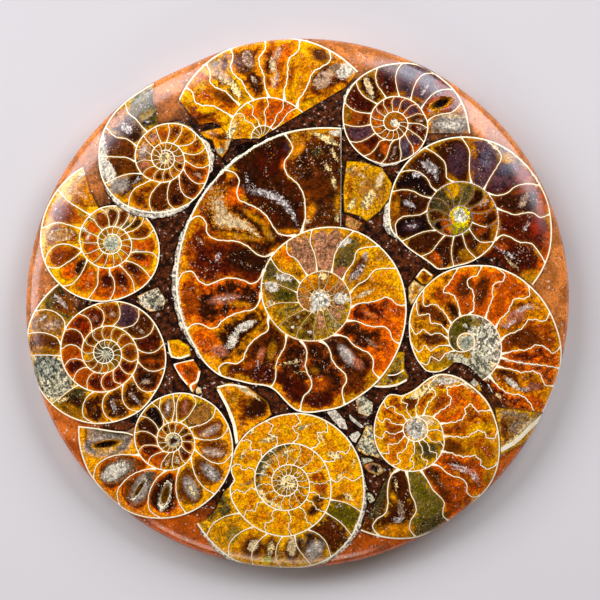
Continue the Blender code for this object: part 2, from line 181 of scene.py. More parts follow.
COILS["ammonite_centre"] = {
    "navel": (8.4, 1.2), "depth": 10.4, "wall_end": 434,
    "wall": [
        (83, 64.1),
        *every(20, 100, 63.3, 60.8, 58, 55.2, 52.8),
        (190, 51.3), (200, 49.6), (210, 48.3), (217, 46.4), (225, 42.4), (230, 40.4), (240, 37.2),
        (245, 37.6), (250, 39.2), (258, 41.8), (265, 41.8), (270, 41.2), (280, 40.4), (290, 38.8),
        *every(20, 300, 37.5, 35, 33, 31.7, 30.8, 29.7, 28.8, 27.4, 26.1, 24.9, 24.1, 22.9, 21.4, 19.6, 18.2,
               16.8, 15.4, 14.4, 13.2, 12.4, 11.7, 11.4),
        *every(40, 760, 11, 10.9, 10, 9, 7.2, 5),
    ],
    "core": 4,
    "septa": [
        [(102, 63), (100.3, 57.4), (104.9, 52), (104.9, 48.8), (100.8, 43.6), (99, 39.6), (99.4, 34),
         (100.3, 31), (102.7, 28.4), (105.6, 26.7)],
        [(126, 59.4), (123.8, 56), (124, 53.8), (127.7, 50.5), (128.9, 48.2), (127.2, 45), (124.3, 41),
         (122.6, 37), (122.6, 32), (121.9, 29), (117.6, 27), (110.4, 26)],
        [(148.3, 56.2), (145.2, 54.5), (145.7, 51.5), (149.5, 48.5), (150, 45.5), (148, 41.6), (145.2, 38.3),
         (143.5, 33.7), (144, 29), (142.8, 26.7), (134.4, 25)],
        [(174, 52.9), (168.5, 51.5), (167.5, 48.8), (171, 45.5), (172.3, 42.2), (170.4, 39.6), (167.3, 36.3),
         (165.6, 31.7), (166, 28.4), (166.8, 26.4), (164.4, 24.7), (151, 23.9)],
        [(192.5, 50.2), (190.8, 47.5), (191.5, 45), (194.4, 42.2), (194.9, 40.3), (192, 37), (189.6, 33),
         (188.4, 28.4), (187.9, 25), (184.8, 23.4), (172.8, 22)],
        [(217, 45.5), (213.6, 45), (213.6, 42.2), (217.2, 39), (217.7, 36.6), (214.8, 33.7), (212, 30.4),
         (210.5, 25.7), (210, 22.4), (201.6, 20.8), (196.8, 20.3)],
        [(240.5, 37.6), (240.7, 34.3), (238.8, 31.7), (235.7, 29), (234, 25.7), (232.8, 21.8), (225.6, 18.8)],
        [(259.7, 41.6), (260.4, 36.3), (264, 33), (264, 30.4), (260.4, 27.7), (257.3, 25), (256.8, 21.8),
         (254.4, 19), (243.6, 16.8)],
        [(283.2, 38.3), (283.9, 34.3), (288.5, 31), (288.5, 29), (284.4, 25.7), (281.3, 22.4), (280.8, 19),
         (277.2, 16.5), (268.8, 15.4)],
        [(307.2, 36.3), (306.7, 33), (311.5, 29.7), (312.5, 27), (309.6, 23.8), (306.5, 20.5), (305.5, 17.2),
         (300, 15.2), (290.4, 13.7)],
        [(331.2, 34.3), (331.2, 31), (336.5, 27.7), (337.2, 25.7), (333.6, 22.4), (331.2, 19), (330, 15.8),
         (321.6, 13.2)],
        [(356.4, 32.3), (356.4, 29), (361.5, 25.7), (362.4, 24.4), (360, 21.8), (357, 17.8), (355, 14.5),
         (345.6, 12.2)],
        [(382.8, 30.6), (388.3, 22.4), (384, 19), (382, 15), (373, 11.9)],
        [(403, 29.6), (413, 22.4), (409, 19), (407, 14), (401, 11.6)],
        [(424, 28.6), (430, 21.8), (432, 17.8), (430, 13.8), (427, 11.5)],
        [(456.5, 26.3), (459.6, 22.4), (456.5, 16.5), (456, 11.9)],
        [(480, 25), (484.8, 20.5), (481, 18), (479, 13), (477.6, 10.6)],
        [(500, 24.1), (504, 18.5), (499, 13), (500, 10.3)],
    ],
    "inner_septa": {"from": 524, "to": 900, "gap": 24.5, "lean": -2, "bow": 4},
    "crust": [(96, 150, 0.5, 0.4, "cream"), (146, 208, 0.9, 1.5, "bone")],
    "inward": 1.1,
    "fills": [
        "bark cognac", "umber maroon frost", "umber rust oat", "maroon rust", "umber orange", "umber amber",
        "umber cognac", "umber rust", "umber rust", "umber cognac", "umber orange", "maroon orange",
        "amber honey", "gold honey frost", "olive gold", "clay clay", "clay clay", "gold honey",
        "olive khaki", "khaki tan", "khaki gold", "bark khaki", "bark khaki", "clay khaki", "khaki olive",
        "clay khaki", "clay khaki", "clay tan", "tan clay", "rust gold",
    ],
    "core_fill": "bone bone",
    "hearts": {
        0: (0.45, 0.2, 0.5, 0.09), 1: (0.62, 0.5, 0.36, 0.1, -0.8, 0.3), 2: (0.46, 0.54, 0.37, 0.15, 0, 0.7),
        3: (0.5, 0.5, 0.3, 0.12), 4: (0.6, 0.5, 0.3, 0.12), 5: (0.5, 0.5, 0.32, 0.2), 6: (0.5, 0.5, 0.4, 0.1),
        7: (0.5, 0.5, 0.4, 0.1), 9: (0.42, 0.42, 0.36, 0.16, -0.3, 0.3), 10: (0.5, 0.5, 0.4, 0.1),
        13: (0.7, 0.5, 0.22, 0.2),
    },
    "glow_band": 0.07, "frill": 0.06, "dark": 0.15, "wall_tint_from": 560, "wall_tint": "oat",
    "inner_line": 0.5,
}
say_written("ammonite_centre")

# %% [markdown]
# Its ten neighbours are written in the same way. The whorls nearest the navel are too small to write out,
# so their septa come at an even gap, with a lean and a bow. This one broke off along a straight line, so
# its edge is given as a few (angle, radius) points that close the outline.
# %% The top ammonite
COILS["ammonite_top"] = {
    "navel": (-12.8, 61.3), "depth": 8.8, "mouth": 35.2, "wall_end": 155,
    "wall": [
        (33, 43.2), (40, 42.4), (50, 41.4), (60, 40.4), (68, 39.6), (75, 38.7), (80, 37.9), (90, 36.8),
        (100, 36.1), (120, 35.4), (140, 34.6), (155, 34.2), (391, 17.6),
        *every(20, 420, 16, 15.3, 14.6, 14.2, 13.6),
        (750, 5), (870, 4.5), (1110, 1.8),
    ],
    "core": 1.5,
    "edge": [
        (163, 27.5), (168.3, 24), (165.5, 22.2), (162.3, 19.5), (163.2, 16.7), (169.6, 14.3), (180, 13.4),
        (182, 10.4), (180, 7.4), (191, 1.9), (31.9, 35.9),
    ],
    "septa": [
        [(52.8, 40.4), (49.2, 38), (50.4, 34.7), (52.8, 30.8), (50.4, 26.4), (48, 22.5), (46.8, 19.2),
         (42, 17.3)],
        [(69.6, 39), (68.4, 35.2), (72, 30.8), (70, 26.9), (67.2, 22.5), (66, 19.2), (60, 16.5)],
        [(88.8, 36.9), (88.8, 33.5), (92.9, 29.7), (92.4, 26.9), (89.5, 23.6), (88.3, 19.8), (81.6, 15.7)],
        [(109.7, 35.7), (110.4, 32.4), (114.5, 29), (114.5, 26.4), (110.4, 22.5), (109.2, 18.7),
         (103.2, 14.3)],
        [(127.2, 34.7), (129, 31.3), (133.2, 28.6), (132.5, 25.3), (129, 22.5), (127.7, 18.7), (124.8, 15.9)],
        [(146.4, 34), (147, 31.3), (151.7, 28.6), (151.7, 25.8), (147.6, 22.5), (146, 18), (145, 14.3)],
        [(402, 17), (405, 13), (401, 9), (398, 5)],
        [(422, 15.9), (416, 13), (419, 10), (414, 7), (416, 5)],
        [(445, 15.1), (441, 12.5), (447, 10), (442, 7), (440, 5)],
        [(473, 14.4), (468, 12), (474, 9.5), (467, 7), (466, 5)],
        [(499, 13.6), (491, 12), (494, 9), (488, 7), (488, 4.8)],
    ],
    "inner_septa": {"from": 752, "to": 900, "gap": 24, "lean": 4, "bow": 2},
    "fills": [
        "cognac amber", "amber honey", "rust amber", "cognac amber", "cognac honey", "rust amber",
        "rust honey", "rust orange", "rust orange", "rust amber", "orange honey", "amber honey",
        "amber honey", "honey amber",
    ],
    "core_fill": "cream honey",
    "hearts": {
        0: (0.15, 0.1, 0.3, 0.2), 1: (0.3, 0.5, 0.3, 0.4), 2: (0.42, 0.5, 0.36, 0.2), 3: (0.5, 0.5, 0.4, 0.3),
        4: (0.55, 0.45, 0.4, 0.3), 5: (0.5, 0.5, 0.35, 0.3),
    },
    "glow_band": 0.06, "frill": 0.1,
}
say_written("ammonite_top")

# %% [markdown]
# A thick crust of pale outer shell is left round this one. A patch of crust runs from one coil angle to
# another, with a reach inwards and outwards, and a stone of its own.
# %% The upper left ammonite
COILS["ammonite_upper_left"] = {
    "navel": (-49.2, 53.9), "depth": 7.6, "wall_end": 462,
    "wall": [
        (99, 28.2), (110, 26.8), (125, 25.8),
        *every(20, 140, 25.4, 25, 24.6, 24.4, 23.5, 22, 20.5, 19.5, 18.9, 18, 17.2, 16.4, 15.4, 14.5, 14,
               13.1, 12.4, 11.8, 11.5, 11.3, 11.1, 10.7, 10.2, 9.5, 9.1, 8.8, 8.3, 8, 7.6, 7.2),
        *every(30, 750, 6.6, 6.1, 5.75, 5.5, 5.3, 5),
        *every(60, 960, 4.5, 4, 3.5, 3.1, 2.8),
    ],
    "core": 2.2,
    "crust": [
        (205, 300, 0.6, 1.9, "bone"), (158, 200, 3.2, 0, "bone"), (340, 392, 0.4, 1.6, "bone"),
        (395, 440, 0.1, 0.5, "bone"),
    ],
    "edge": [(101, 18), (102, 22)],
    "septa": [
        [(126, 25.8), (129, 21.6), (127, 18.4), (126, 14), (124, 11.8)],
        [(152.4, 25.2), (156.5, 19.6), (153.6, 16.4), (154.8, 13.2), (158, 11.3)],
        [(178, 24.6), (178.6, 17.2), (178.8, 14.8), (187, 11.2)],
        [(202.8, 24.3), (202.3, 17.2), (204, 14.4), (213.6, 10.6)],
        [(232.8, 22.5), (227.5, 19.2), (225.6, 15.6), (230.4, 12.4), (237.6, 9.7)],
        [(256.8, 20.8), (251.5, 18), (249, 14.8), (252, 12), (260.4, 9.2)],
        [(281.3, 19.5), (275.5, 17.2), (273.6, 14), (276, 11.2), (283.2, 8.8)],
        [(304.3, 18.6), (298.3, 16), (296.9, 12.8), (301.2, 10.4), (309.6, 8.2)],
        [(328, 17.6), (321.6, 15.2), (320.4, 12.4), (324, 9.6), (330, 7.8)],
        [(351.6, 16.8), (345.6, 14.4), (343.9, 11.6), (348, 9.2), (352.8, 7.4)],
        [(374.4, 15.6), (368.4, 13.2), (366.7, 10.8), (370.8, 8.4), (376.8, 6.9)],
        [(398.4, 14.6), (391.2, 12.8), (389.3, 10.8), (394.8, 8), (404.4, 6.3)],
        [(422.4, 13.9), (417.6, 11.2), (417, 9.2), (420, 6.1)],
        [(445, 12.9), (441.6, 10.8), (441, 8.8), (445, 5.8)],
        [(466.8, 12.1), (466.8, 8.8), (463, 5.6)],
        [(494, 11.5), (496.3, 8.4), (495.6, 5.4)],
    ],
    "inner_septa": {"from": 524, "to": 1180, "gap": 26, "lean": 3, "bow": 4},
    "fills": [
        "fern olive", "bark taupe", "maroon russet", "bark russet", "plum gold", "cognac amber",
        "umber cognac", "umber cognac", "umber rust", "cognac orange", "cognac amber", "rust honey",
        "cognac amber", "cognac amber", "rust amber", "clay amber", "clay amber", "rose amber", "rose amber",
        "rust amber", "cognac amber", "maroon amber",
    ],
    "core_fill": "honey cream",
    "hearts": {
        1: (0.35, 0.4, 0.5, 0.34), 2: (0.5, 0.5, 0.4, 0.2), 3: (0.45, 0.45, 0.45, 0.4),
        4: (0.42, 0.4, 0.45, 0.36), 15: (0.5, 0.5, 0.4, 0.4), 16: (0.5, 0.4, 0.4, 0.4),
    },
    "glow_band": 0.08, "bean": 0.6, "crisp": 1.6, "corner": 0.42, "dark": -0.1,
}
say_written("ammonite_upper_left")

# %% [markdown]
# Iron turned this small one plum and dark brown, and only its inmost whorls glow orange. One chamber stayed
# open, which comes with the other hollows.
# %% The top right ammonite
COILS["ammonite_top_right"] = {
    "navel": (35.8, 66.9), "depth": 7.2, "wall_end": 703.6,
    "wall": [
        (352.5, 28.4),
        *every(10, 360, 27.6, 27, 26.3, 25.6, 24.7, 24.2, 24, 23.6, 22.9, 22.2, 21.8, 21.4),
        (490, 21), (510, 20.3), (530, 19.2),
        *every(20, 560, 17.9, 17, 16.2, 15.6, 14.4, 13.8, 13.4, 12.9, 12.5, 11.5, 11, 10.4, 10, 9.8, 9.4),
        *every(20, 880, 9, 8.6, 8, 7.4, 6.9, 6.5),
        (1020, 5.9), (1050, 5.5), (1080, 5.2), (1120, 4.6), (1160, 4.3), (1200, 4.1), (1260, 3.8),
        (1300, 3.4), (1340, 2.8), (1440, 1.9),
    ],
    "core": 1.6, "edge": [],
    "crust": [(600, 640, 0.2, 0.5, "bone"), (495, 520, 0.2, 0.6, "bone")],
    "septa": [
        [(376.8, 26.5), (370.8, 21.8), (370.8, 18), (368.4, 14.3), (362.4, 12.4)],
        [(390, 25.6), (394.8, 22), (396.7, 18.8), (394.8, 15), (387.6, 11.2)],
        [(411.6, 24.2), (418.8, 21.4), (421.2, 18.4), (420.5, 15), (414, 10.5)],
        [(441.6, 22.9), (445.2, 20.6), (447.6, 17.3), (445.2, 13.5), (438, 10)],
        [(466.8, 21.6), (471, 18.8), (473.3, 15.4), (470.4, 12.4), (466.8, 9.7)],
        [(492.5, 21), (496.3, 18), (498, 15), (495.6, 12), (490.8, 9.3)],
        [(517.2, 20), (521.3, 16.9), (522.7, 14.3), (520.8, 11.3), (517.2, 9)],
        [(541.2, 18.8), (544.8, 15), (546, 12), (543.6, 8.6)],
        [(562.8, 18), (567.6, 15.4), (570, 12.4), (568.3, 7.8)],
        [(588, 17), (592.3, 14.3), (594, 10.9), (592.8, 8.6), (602, 6.9)],
        [(612, 16), (616.8, 13.5), (619.2, 10), (621.6, 7.9), (631, 6.3)],
        [(639, 14.6), (643.2, 11.6), (644.4, 8.6), (652.8, 5.8)],
        [(662.4, 13.7), (668.4, 10.9), (669.6, 8.3), (678, 5.3)],
        [(687.6, 13.2), (692, 10), (693.6, 7.9), (700, 4.9)],
        [(711.6, 12.6), (717.6, 9.8), (720, 5.2)],
    ],
    "inner_septa": {"from": 735.6, "to": 1090, "gap": 24.5, "lean": 6, "bow": -6},
    "fills": [
        "taupe amber", "plum mauve", "plum mauve", "plum mauve", "maroon bark", "umber gold", "maroon bark",
        "maroon rust", "plum maroon", "maroon rust", "umber rust", "umber cognac", "plum mauve",
        "plum cognac", "maroon bark", "bark cognac", "plum maroon", "plum umber", "plum maroon",
        "maroon rust", "maroon orange",
    ],
    "core_fill": "bone orange",
    "hearts": {
        0: (0.5, 0.45, 0.4, 0.3), 1: (0.4, 0.42, 0.3, 0.34), 2: (0.25, 0.8, 0.2, 0.2),
        3: (0.3, 0.3, 0.3, 0.2), 5: (0.5, 0.5, 0.36, 0.26), 15: (0.5, 0.5, 0.35, 0.3),
    },
    "glow_band": 0.05, "inner_glow": "orange", "inner_glow_from": 740,
    "whorl_fills": [(1085, 1500, "amber honey")],
    "dark": 0.5, "bean": 0.6, "crisp": 1.7, "corner": 0.45,
}
say_written("ammonite_top_right")

# %% [markdown]
# The darkest one, with a pale yellow navel. Its inner walls are stained grey, so past one coil angle they
# have a tint.
# %% The upper right ammonite
COILS["ammonite_upper_right"] = {
    "navel": (60.3, 32), "depth": 9, "mouth": 317, "wall_end": 657,
    "wall": [
        (317, 36.8),
        *every(10, 330, 36.2, 35.6, 34.7, 33.9, 33.3, 32.5, 31.9, 31.4),
        *every(20, 420, 30.7, 30, 29.4, 28.7, 27.9, 27, 26.2),
        (552, 25.6),
        *every(10, 560, 23.8, 22.4, 21.1, 20.3, 20.4),
        (606, 20.9), (612, 20.2), (624, 18.3), (640, 17.2), (657, 16.4), (670, 16), (680, 15.8), (700, 14.8),
        (720, 14.2),
        *every(40, 740, 13.8, 13.3, 13, 12.7, 12),
        (920, 10.8), (930, 10), (950, 8.7), (970, 7.5), (990, 6.5), (1020, 5.5), (1050, 4.9), (1080, 4.5),
        (1180, 4.2), (1300, 3.9),
    ],
    "core": 3.9,
    "crust": [(528, 560, 0.2, 2.2, "bone"), (372, 420, 0.5, 0.2, "cream")],
    "edge": [(303, 17.9), (312.8, 20.2), (311.9, 23.9), (312.8, 27.3), (315.5, 31.8)],
    "septa": [
        [(332, 36), (336, 32.3), (339.6, 28.5), (337.2, 23.7), (338.4, 19.5), (337.2, 17.3), (326.4, 15.6)],
        [(362, 33.8), (360, 30), (363.6, 27), (363.6, 23.7), (362.4, 20.4), (366, 17.6), (373.2, 14)],
        [(381.6, 32.4), (386.4, 28), (388.8, 23.7), (387, 19.5), (390, 16.1), (400.8, 13.5)],
        [(429.6, 30.3), (415, 27), (413.5, 23.3), (412.8, 19.5), (409, 13.4)],
        [(448.8, 29.7), (441.6, 24.7), (440, 20.4), (438, 17), (430.8, 13.2)],
        [(476.4, 28.8), (470.4, 24.7), (465.6, 20.9), (466.8, 17.6), (468.5, 15.7), (459.6, 13)],
        [(502.8, 27.8), (495.6, 24.7), (491.5, 21.4), (490.8, 18), (493.2, 15.7), (492, 12.8)],
        [(519.6, 27), (513.6, 22.8), (511, 19.5), (511, 16.6), (506.4, 12.6)],
        [(556.8, 24.9), (544.8, 23.7), (540, 21.4), (538.3, 17.6), (536.4, 14.7), (528, 12.2)],
        [(562.8, 23.4), (562.8, 13.8), (568.8, 10.7)],
        [(585.6, 20.6), (590.4, 16.6), (590, 12.8), (590.4, 9.4)],
        [(622.8, 18.4), (616.8, 13.8), (612, 7.4)],
        [(651.6, 16.6), (643.2, 12.3), (637.2, 5.9)],
        [(684, 15.6), (669.6, 11.9), (667, 5.2)],
        [(714, 14.4), (700.8, 10.9), (695, 4.7)],
    ],
    "inner_septa": {"from": 738, "to": 1020, "gap": 25.5, "lean": 2, "bow": 8},
    "fills": [
        "maroon cognac", "maroon cognac", "umber cognac", "maroon plum", "plum mauve", "umber bark",
        "umber bark frost", "ink umber", "umber cognac", "ink umber", "umber bark", "umber cognac",
        "umber cognac", "umber cognac", "umber cognac", "umber rust", "cognac amber", "umber khaki",
        "moss khaki", "moss khaki", "moss umber", "moss umber", "umber olive", "ink moss", "maroon orange",
    ],
    "core_fill": "cream lemon",
    "hearts": {
        0: (0.6, 0.6, 0.3, 0.2), 2: (0.5, 0.55, 0.4, 0.3), 3: (0.25, 0.35, 0.2, 0.4),
        4: (0.2, 0.35, 0.2, 0.2), 6: (0.5, 0.55, 0.28, 0.22), 7: (0.5, 0.5, 0.2, 0.2),
        8: (0.5, 0.5, 0.35, 0.25), 9: (0.5, 0.5, 0.3, 0.2),
    },
    "glow_band": 0.05, "wall_tint": "steel", "wall_tint_from": 700, "inward": 1.1, "dark": 0.45, "bean": 0.5,
    "crisp": 1.4, "corner": 0.42,
}
say_written("ammonite_upper_right")

# %% [markdown]
# Brown and orange crystal fills its chambers. A fill can also cover a stretch of a whorl, whatever its
# septa do, and that is how the grey and olive stone round its navel is laid.
# %% The right ammonite
COILS["ammonite_right"] = {
    "navel": (62.5, -14.4), "depth": 9, "mouth": 318, "wall_end": 594,
    "wall": [
        (318, 39), (325, 38),
        *every(10, 330, 37.4, 36.8, 36.3, 35.3, 34.1, 33.2, 32.4, 31.6, 31, 30.3, 29.7, 28.8, 28.1, 27.4,
               26.7, 25.8, 24.9, 24.1, 23.2, 22.2, 21.2, 20.5, 19.7, 19.1, 18.4),
        (577, 17.9), (583, 16.3), (589, 14.5), (594, 12.1), (655, 15.5),
        *every(20, 660, 15.3, 14.6, 13.8, 13, 12.3, 11.7, 10.9, 10.3, 9.7, 8.9, 8, 7, 6.3, 5.7, 5, 4.2, 3.6),
        (1060, 3.4), (1200, 3.3), (1340, 3.2),
    ],
    "core": 3.2,
    "edge": [
        (241, 8.5), (259, 7.9), (279, 9.4), (289, 12.6), (294.8, 15.9), (299.7, 18), (298.6, 23.3),
        (301.2, 26.5), (305.3, 29.6), (311.4, 33.1),
    ],
    "septa": [
        [(313.2, 40), (316.8, 31.7), (316.3, 29), (309.6, 24.7), (307.2, 22), (304.3, 15.4)],
        [(333.6, 37.3), (331.7, 34), (336.5, 30), (336.5, 27.5), (331.2, 23.3), (329.3, 20), (325.2, 16.8),
         (321.6, 14.5)],
        [(344.4, 36.5), (343.2, 30), (340.8, 24.7), (338.4, 20), (336, 14)],
        [(357, 35.6), (352.8, 33), (356.4, 29.4), (357.6, 26.6), (352.8, 22.9), (350.4, 19), (345.6, 15.9),
         (340.8, 13.8)],
        [(379, 33.2), (374.9, 30.3), (378, 27), (379.2, 24.7), (374.4, 21.9), (371.5, 18.7), (369.6, 15.4),
         (362.4, 12.9)],
        [(402, 31.4), (396, 28.9), (397.2, 26.6), (401.3, 24.3), (399.6, 21.9), (395.5, 19), (393.6, 15.4),
         (385.2, 12.1)],
        [(427, 29.9), (419.5, 28.5), (418.8, 26.6), (423.6, 24.3), (423.6, 22.4), (418.8, 19), (417, 16.3),
         (410.4, 11.2)],
        [(438, 28.9), (441.6, 24.7), (446.4, 24), (448.8, 21.9), (441.6, 18.7), (439.2, 15.4), (436.8, 12.1),
         (444, 10.2)],
        [(456, 27.6), (464.4, 23.3), (474, 20.5), (465.6, 18.2), (462.5, 15.4), (462, 9.6)],
        [(489, 25), (496, 22), (499, 20.5), (489.6, 18.2), (487, 15.4), (488.4, 8.6)],
        [(500, 24), (510, 20), (503, 17), (511, 15), (506, 12), (511, 7.6)],
        [(522, 22), (531, 18.5), (524, 16.5), (528, 13.5), (522, 10.8), (530, 6.8)],
        [(541, 20.4), (552, 17.5), (545, 15.2), (554, 13.5), (549, 10.7), (552, 6.2)],
        [(563, 19), (570, 16.5), (563, 14), (575, 12), (570, 9), (577, 5.8)],
    ],
    "inner_septa": {"from": 1500, "to": 1400, "gap": 25, "lean": 0, "bow": 0},
    "fills": [
        "maroon orange", "cognac amber", "cognac orange", "maroon orange", "cognac rust", "cognac amber",
        "rust orange", "rust orange", "rust orange", "cognac amber", "umber amber", "cognac gold",
        "cognac gold", "gold honey", "gold khaki", "putty putty", "olive moss",
    ],
    "core_fill": "sage sage",
    "hearts": {
        1: (0.5, 0.5, 0.3, 0.22), 2: (0.5, 0.5, 0.5, 0.2), 3: (0.5, 0.5, 0.3, 0.2), 5: (0.5, 0.5, 0.3, 0.22),
    },
    "glow_band": 0.05,
    "whorl_fills": [(655, 800, "putty bone"), (800, 1400, "olive moss")],
    "frill": 0.16, "inward": 0.7, "dark": -0.1,
}
say_written("ammonite_right")

# %% [markdown]
# Its last whorl opens out wide and runs to the edge of the plate, where the wheel ground it off.
# %% The bottom right ammonite
COILS["ammonite_bottom_right"] = {
    "navel": (44, -46.7), "depth": 9, "mouth": 241.5, "wall_end": 600,
    "wall": [
        (241, 42.8),
        *every(10, 250, 42.2, 41.5, 40.5, 38.7, 36.8, 35.6, 34.9, 34.7, 34, 32.8, 31.5, 30.3, 29.2, 28.2,
               26.9, 25.6, 24.6, 23.2, 21.1),
        *every(5, 435, 19.4, 17.6, 16, 14.8, 14, 13.6),
        (470, 13.3), (475, 13.5), (480, 14.6), (488, 16.1), (495, 16),
        *every(20, 510, 15.6, 15.4, 15.7, 16, 16.2, 16.1, 15.6, 14.7, 13.4, 12, 10.2),
        (720, 9.7), (740, 8.7), (760, 7.2), (780, 5.7), (790, 5.2), (900, 4.8), (1100, 4.4), (1200, 4.2),
    ],
    "core": 4.2,
    "edge": [(238, 19), (239.5, 24), (241, 30), (241, 38)],
    "septa": [
        [(250.8, 42.1), (246, 39.5), (246.7, 36.5), (250, 33.5), (249.6, 30), (246, 26), (243, 22.5),
         (242, 19), (247, 16.1)],
        [(270, 40.5), (266.4, 37), (267, 34), (270, 31), (269.3, 27.5), (265.2, 24), (262.8, 20.5),
         (256.8, 15.9)],
        [(290, 36.8), (287.5, 34), (288.5, 32), (291, 29.5), (289.2, 26.5), (285.6, 23.5), (283.2, 20),
         (276, 15.2)],
        [(314.4, 34.8), (309.6, 33), (309, 30.5), (312.5, 28), (312.5, 25), (308.4, 22.5), (304.8, 19.5),
         (302.4, 16.5), (294, 14.2)],
        [(337.2, 33), (331.2, 31), (330.5, 28.5), (334.8, 26), (335.3, 24), (331.2, 21.5), (327.6, 18.5),
         (325.2, 15.5), (318, 12.4)],
        [(358.8, 30.4), (353.3, 29.3), (352.8, 27), (357.6, 25), (358, 22.5), (354, 20.5), (350.4, 18.5),
         (349.2, 15.5), (345.6, 10.4)],
        [(374, 28.8), (375.6, 25), (377, 23.5), (384, 22.5), (384, 20.5), (374.4, 18.5), (370.8, 16),
         (370.8, 12.5), (372, 9.1)],
        [(402, 25.4), (409, 21), (412.8, 19.5), (410, 18), (399.6, 17), (396, 14.5), (397, 11.5), (395, 7.5)],
        [(428, 21.6), (433, 16), (422, 15.5), (420.5, 13.5), (423.6, 11.5), (422, 5.7)],
        [(444, 16.3), (452, 13), (445, 11), (450, 8.5), (446, 5)],
        [(470, 13.3), (478, 11.5), (470, 10), (476, 8), (471, 5)],
        [(499, 15.9), (504, 13.5), (495, 12), (501, 9.5), (495, 7.5), (498, 5)],
        [(522, 15.5), (529, 13), (520, 11.5), (526, 9), (521, 5)],
        [(548, 15.6), (555, 13), (545, 11.5), (552, 9), (546, 5)],
        [(573, 16), (581, 13.5), (570, 12), (577, 9), (571, 5)],
        [(597, 16.2), (604, 13.5), (594, 12), (601, 9), (595, 5)],
        [(621, 15.9), (627, 13), (619, 11.5), (625, 9), (620, 5)],
        [(643, 15.1), (649, 12.5), (641, 11), (647, 8.5), (642, 5)],
        [(664, 13.8), (670, 11.5), (663, 10), (668, 7.5), (664, 5)],
        [(687, 12.2), (692, 10), (685, 8.5), (688, 5)],
        [(712, 10.1), (717, 8.5), (712, 5)],
    ],
    "inner_septa": {"from": 1500, "to": 1400, "gap": 25, "lean": 0, "bow": 0},
    "fills": [
        "moss bark", "umber bark", "fern olive", "rust orange", "rust orange", "rust gold", "rust amber",
        "rust orange", "rust honey", "rust honey", "cognac honey", "rust honey", "rust amber", "rust amber",
        "rust amber", "rust amber", "amber honey", "khaki honey", "fern honey", "olive honey", "amber honey",
        "amber honey",
    ],
    "core_fill": "bone bone",
    "hearts": {
        0: (0.4, 0.5, 0.3, 0.3), 1: (0.45, 0.5, 0.38, 0.12), 3: (0.5, 0.45, 0.25, 0.2),
        4: (0.45, 0.5, 0.3, 0.2),
    },
    "glow_band": 0.05,
    "crust": [(340, 480, 0.9, 0.3, "sand"), (438, 478, 2, 0, "honey")],
    "frill": 0.26, "inward": 0.7, "frill_from": 337, "dark": 0,
}
say_written("ammonite_bottom_right")

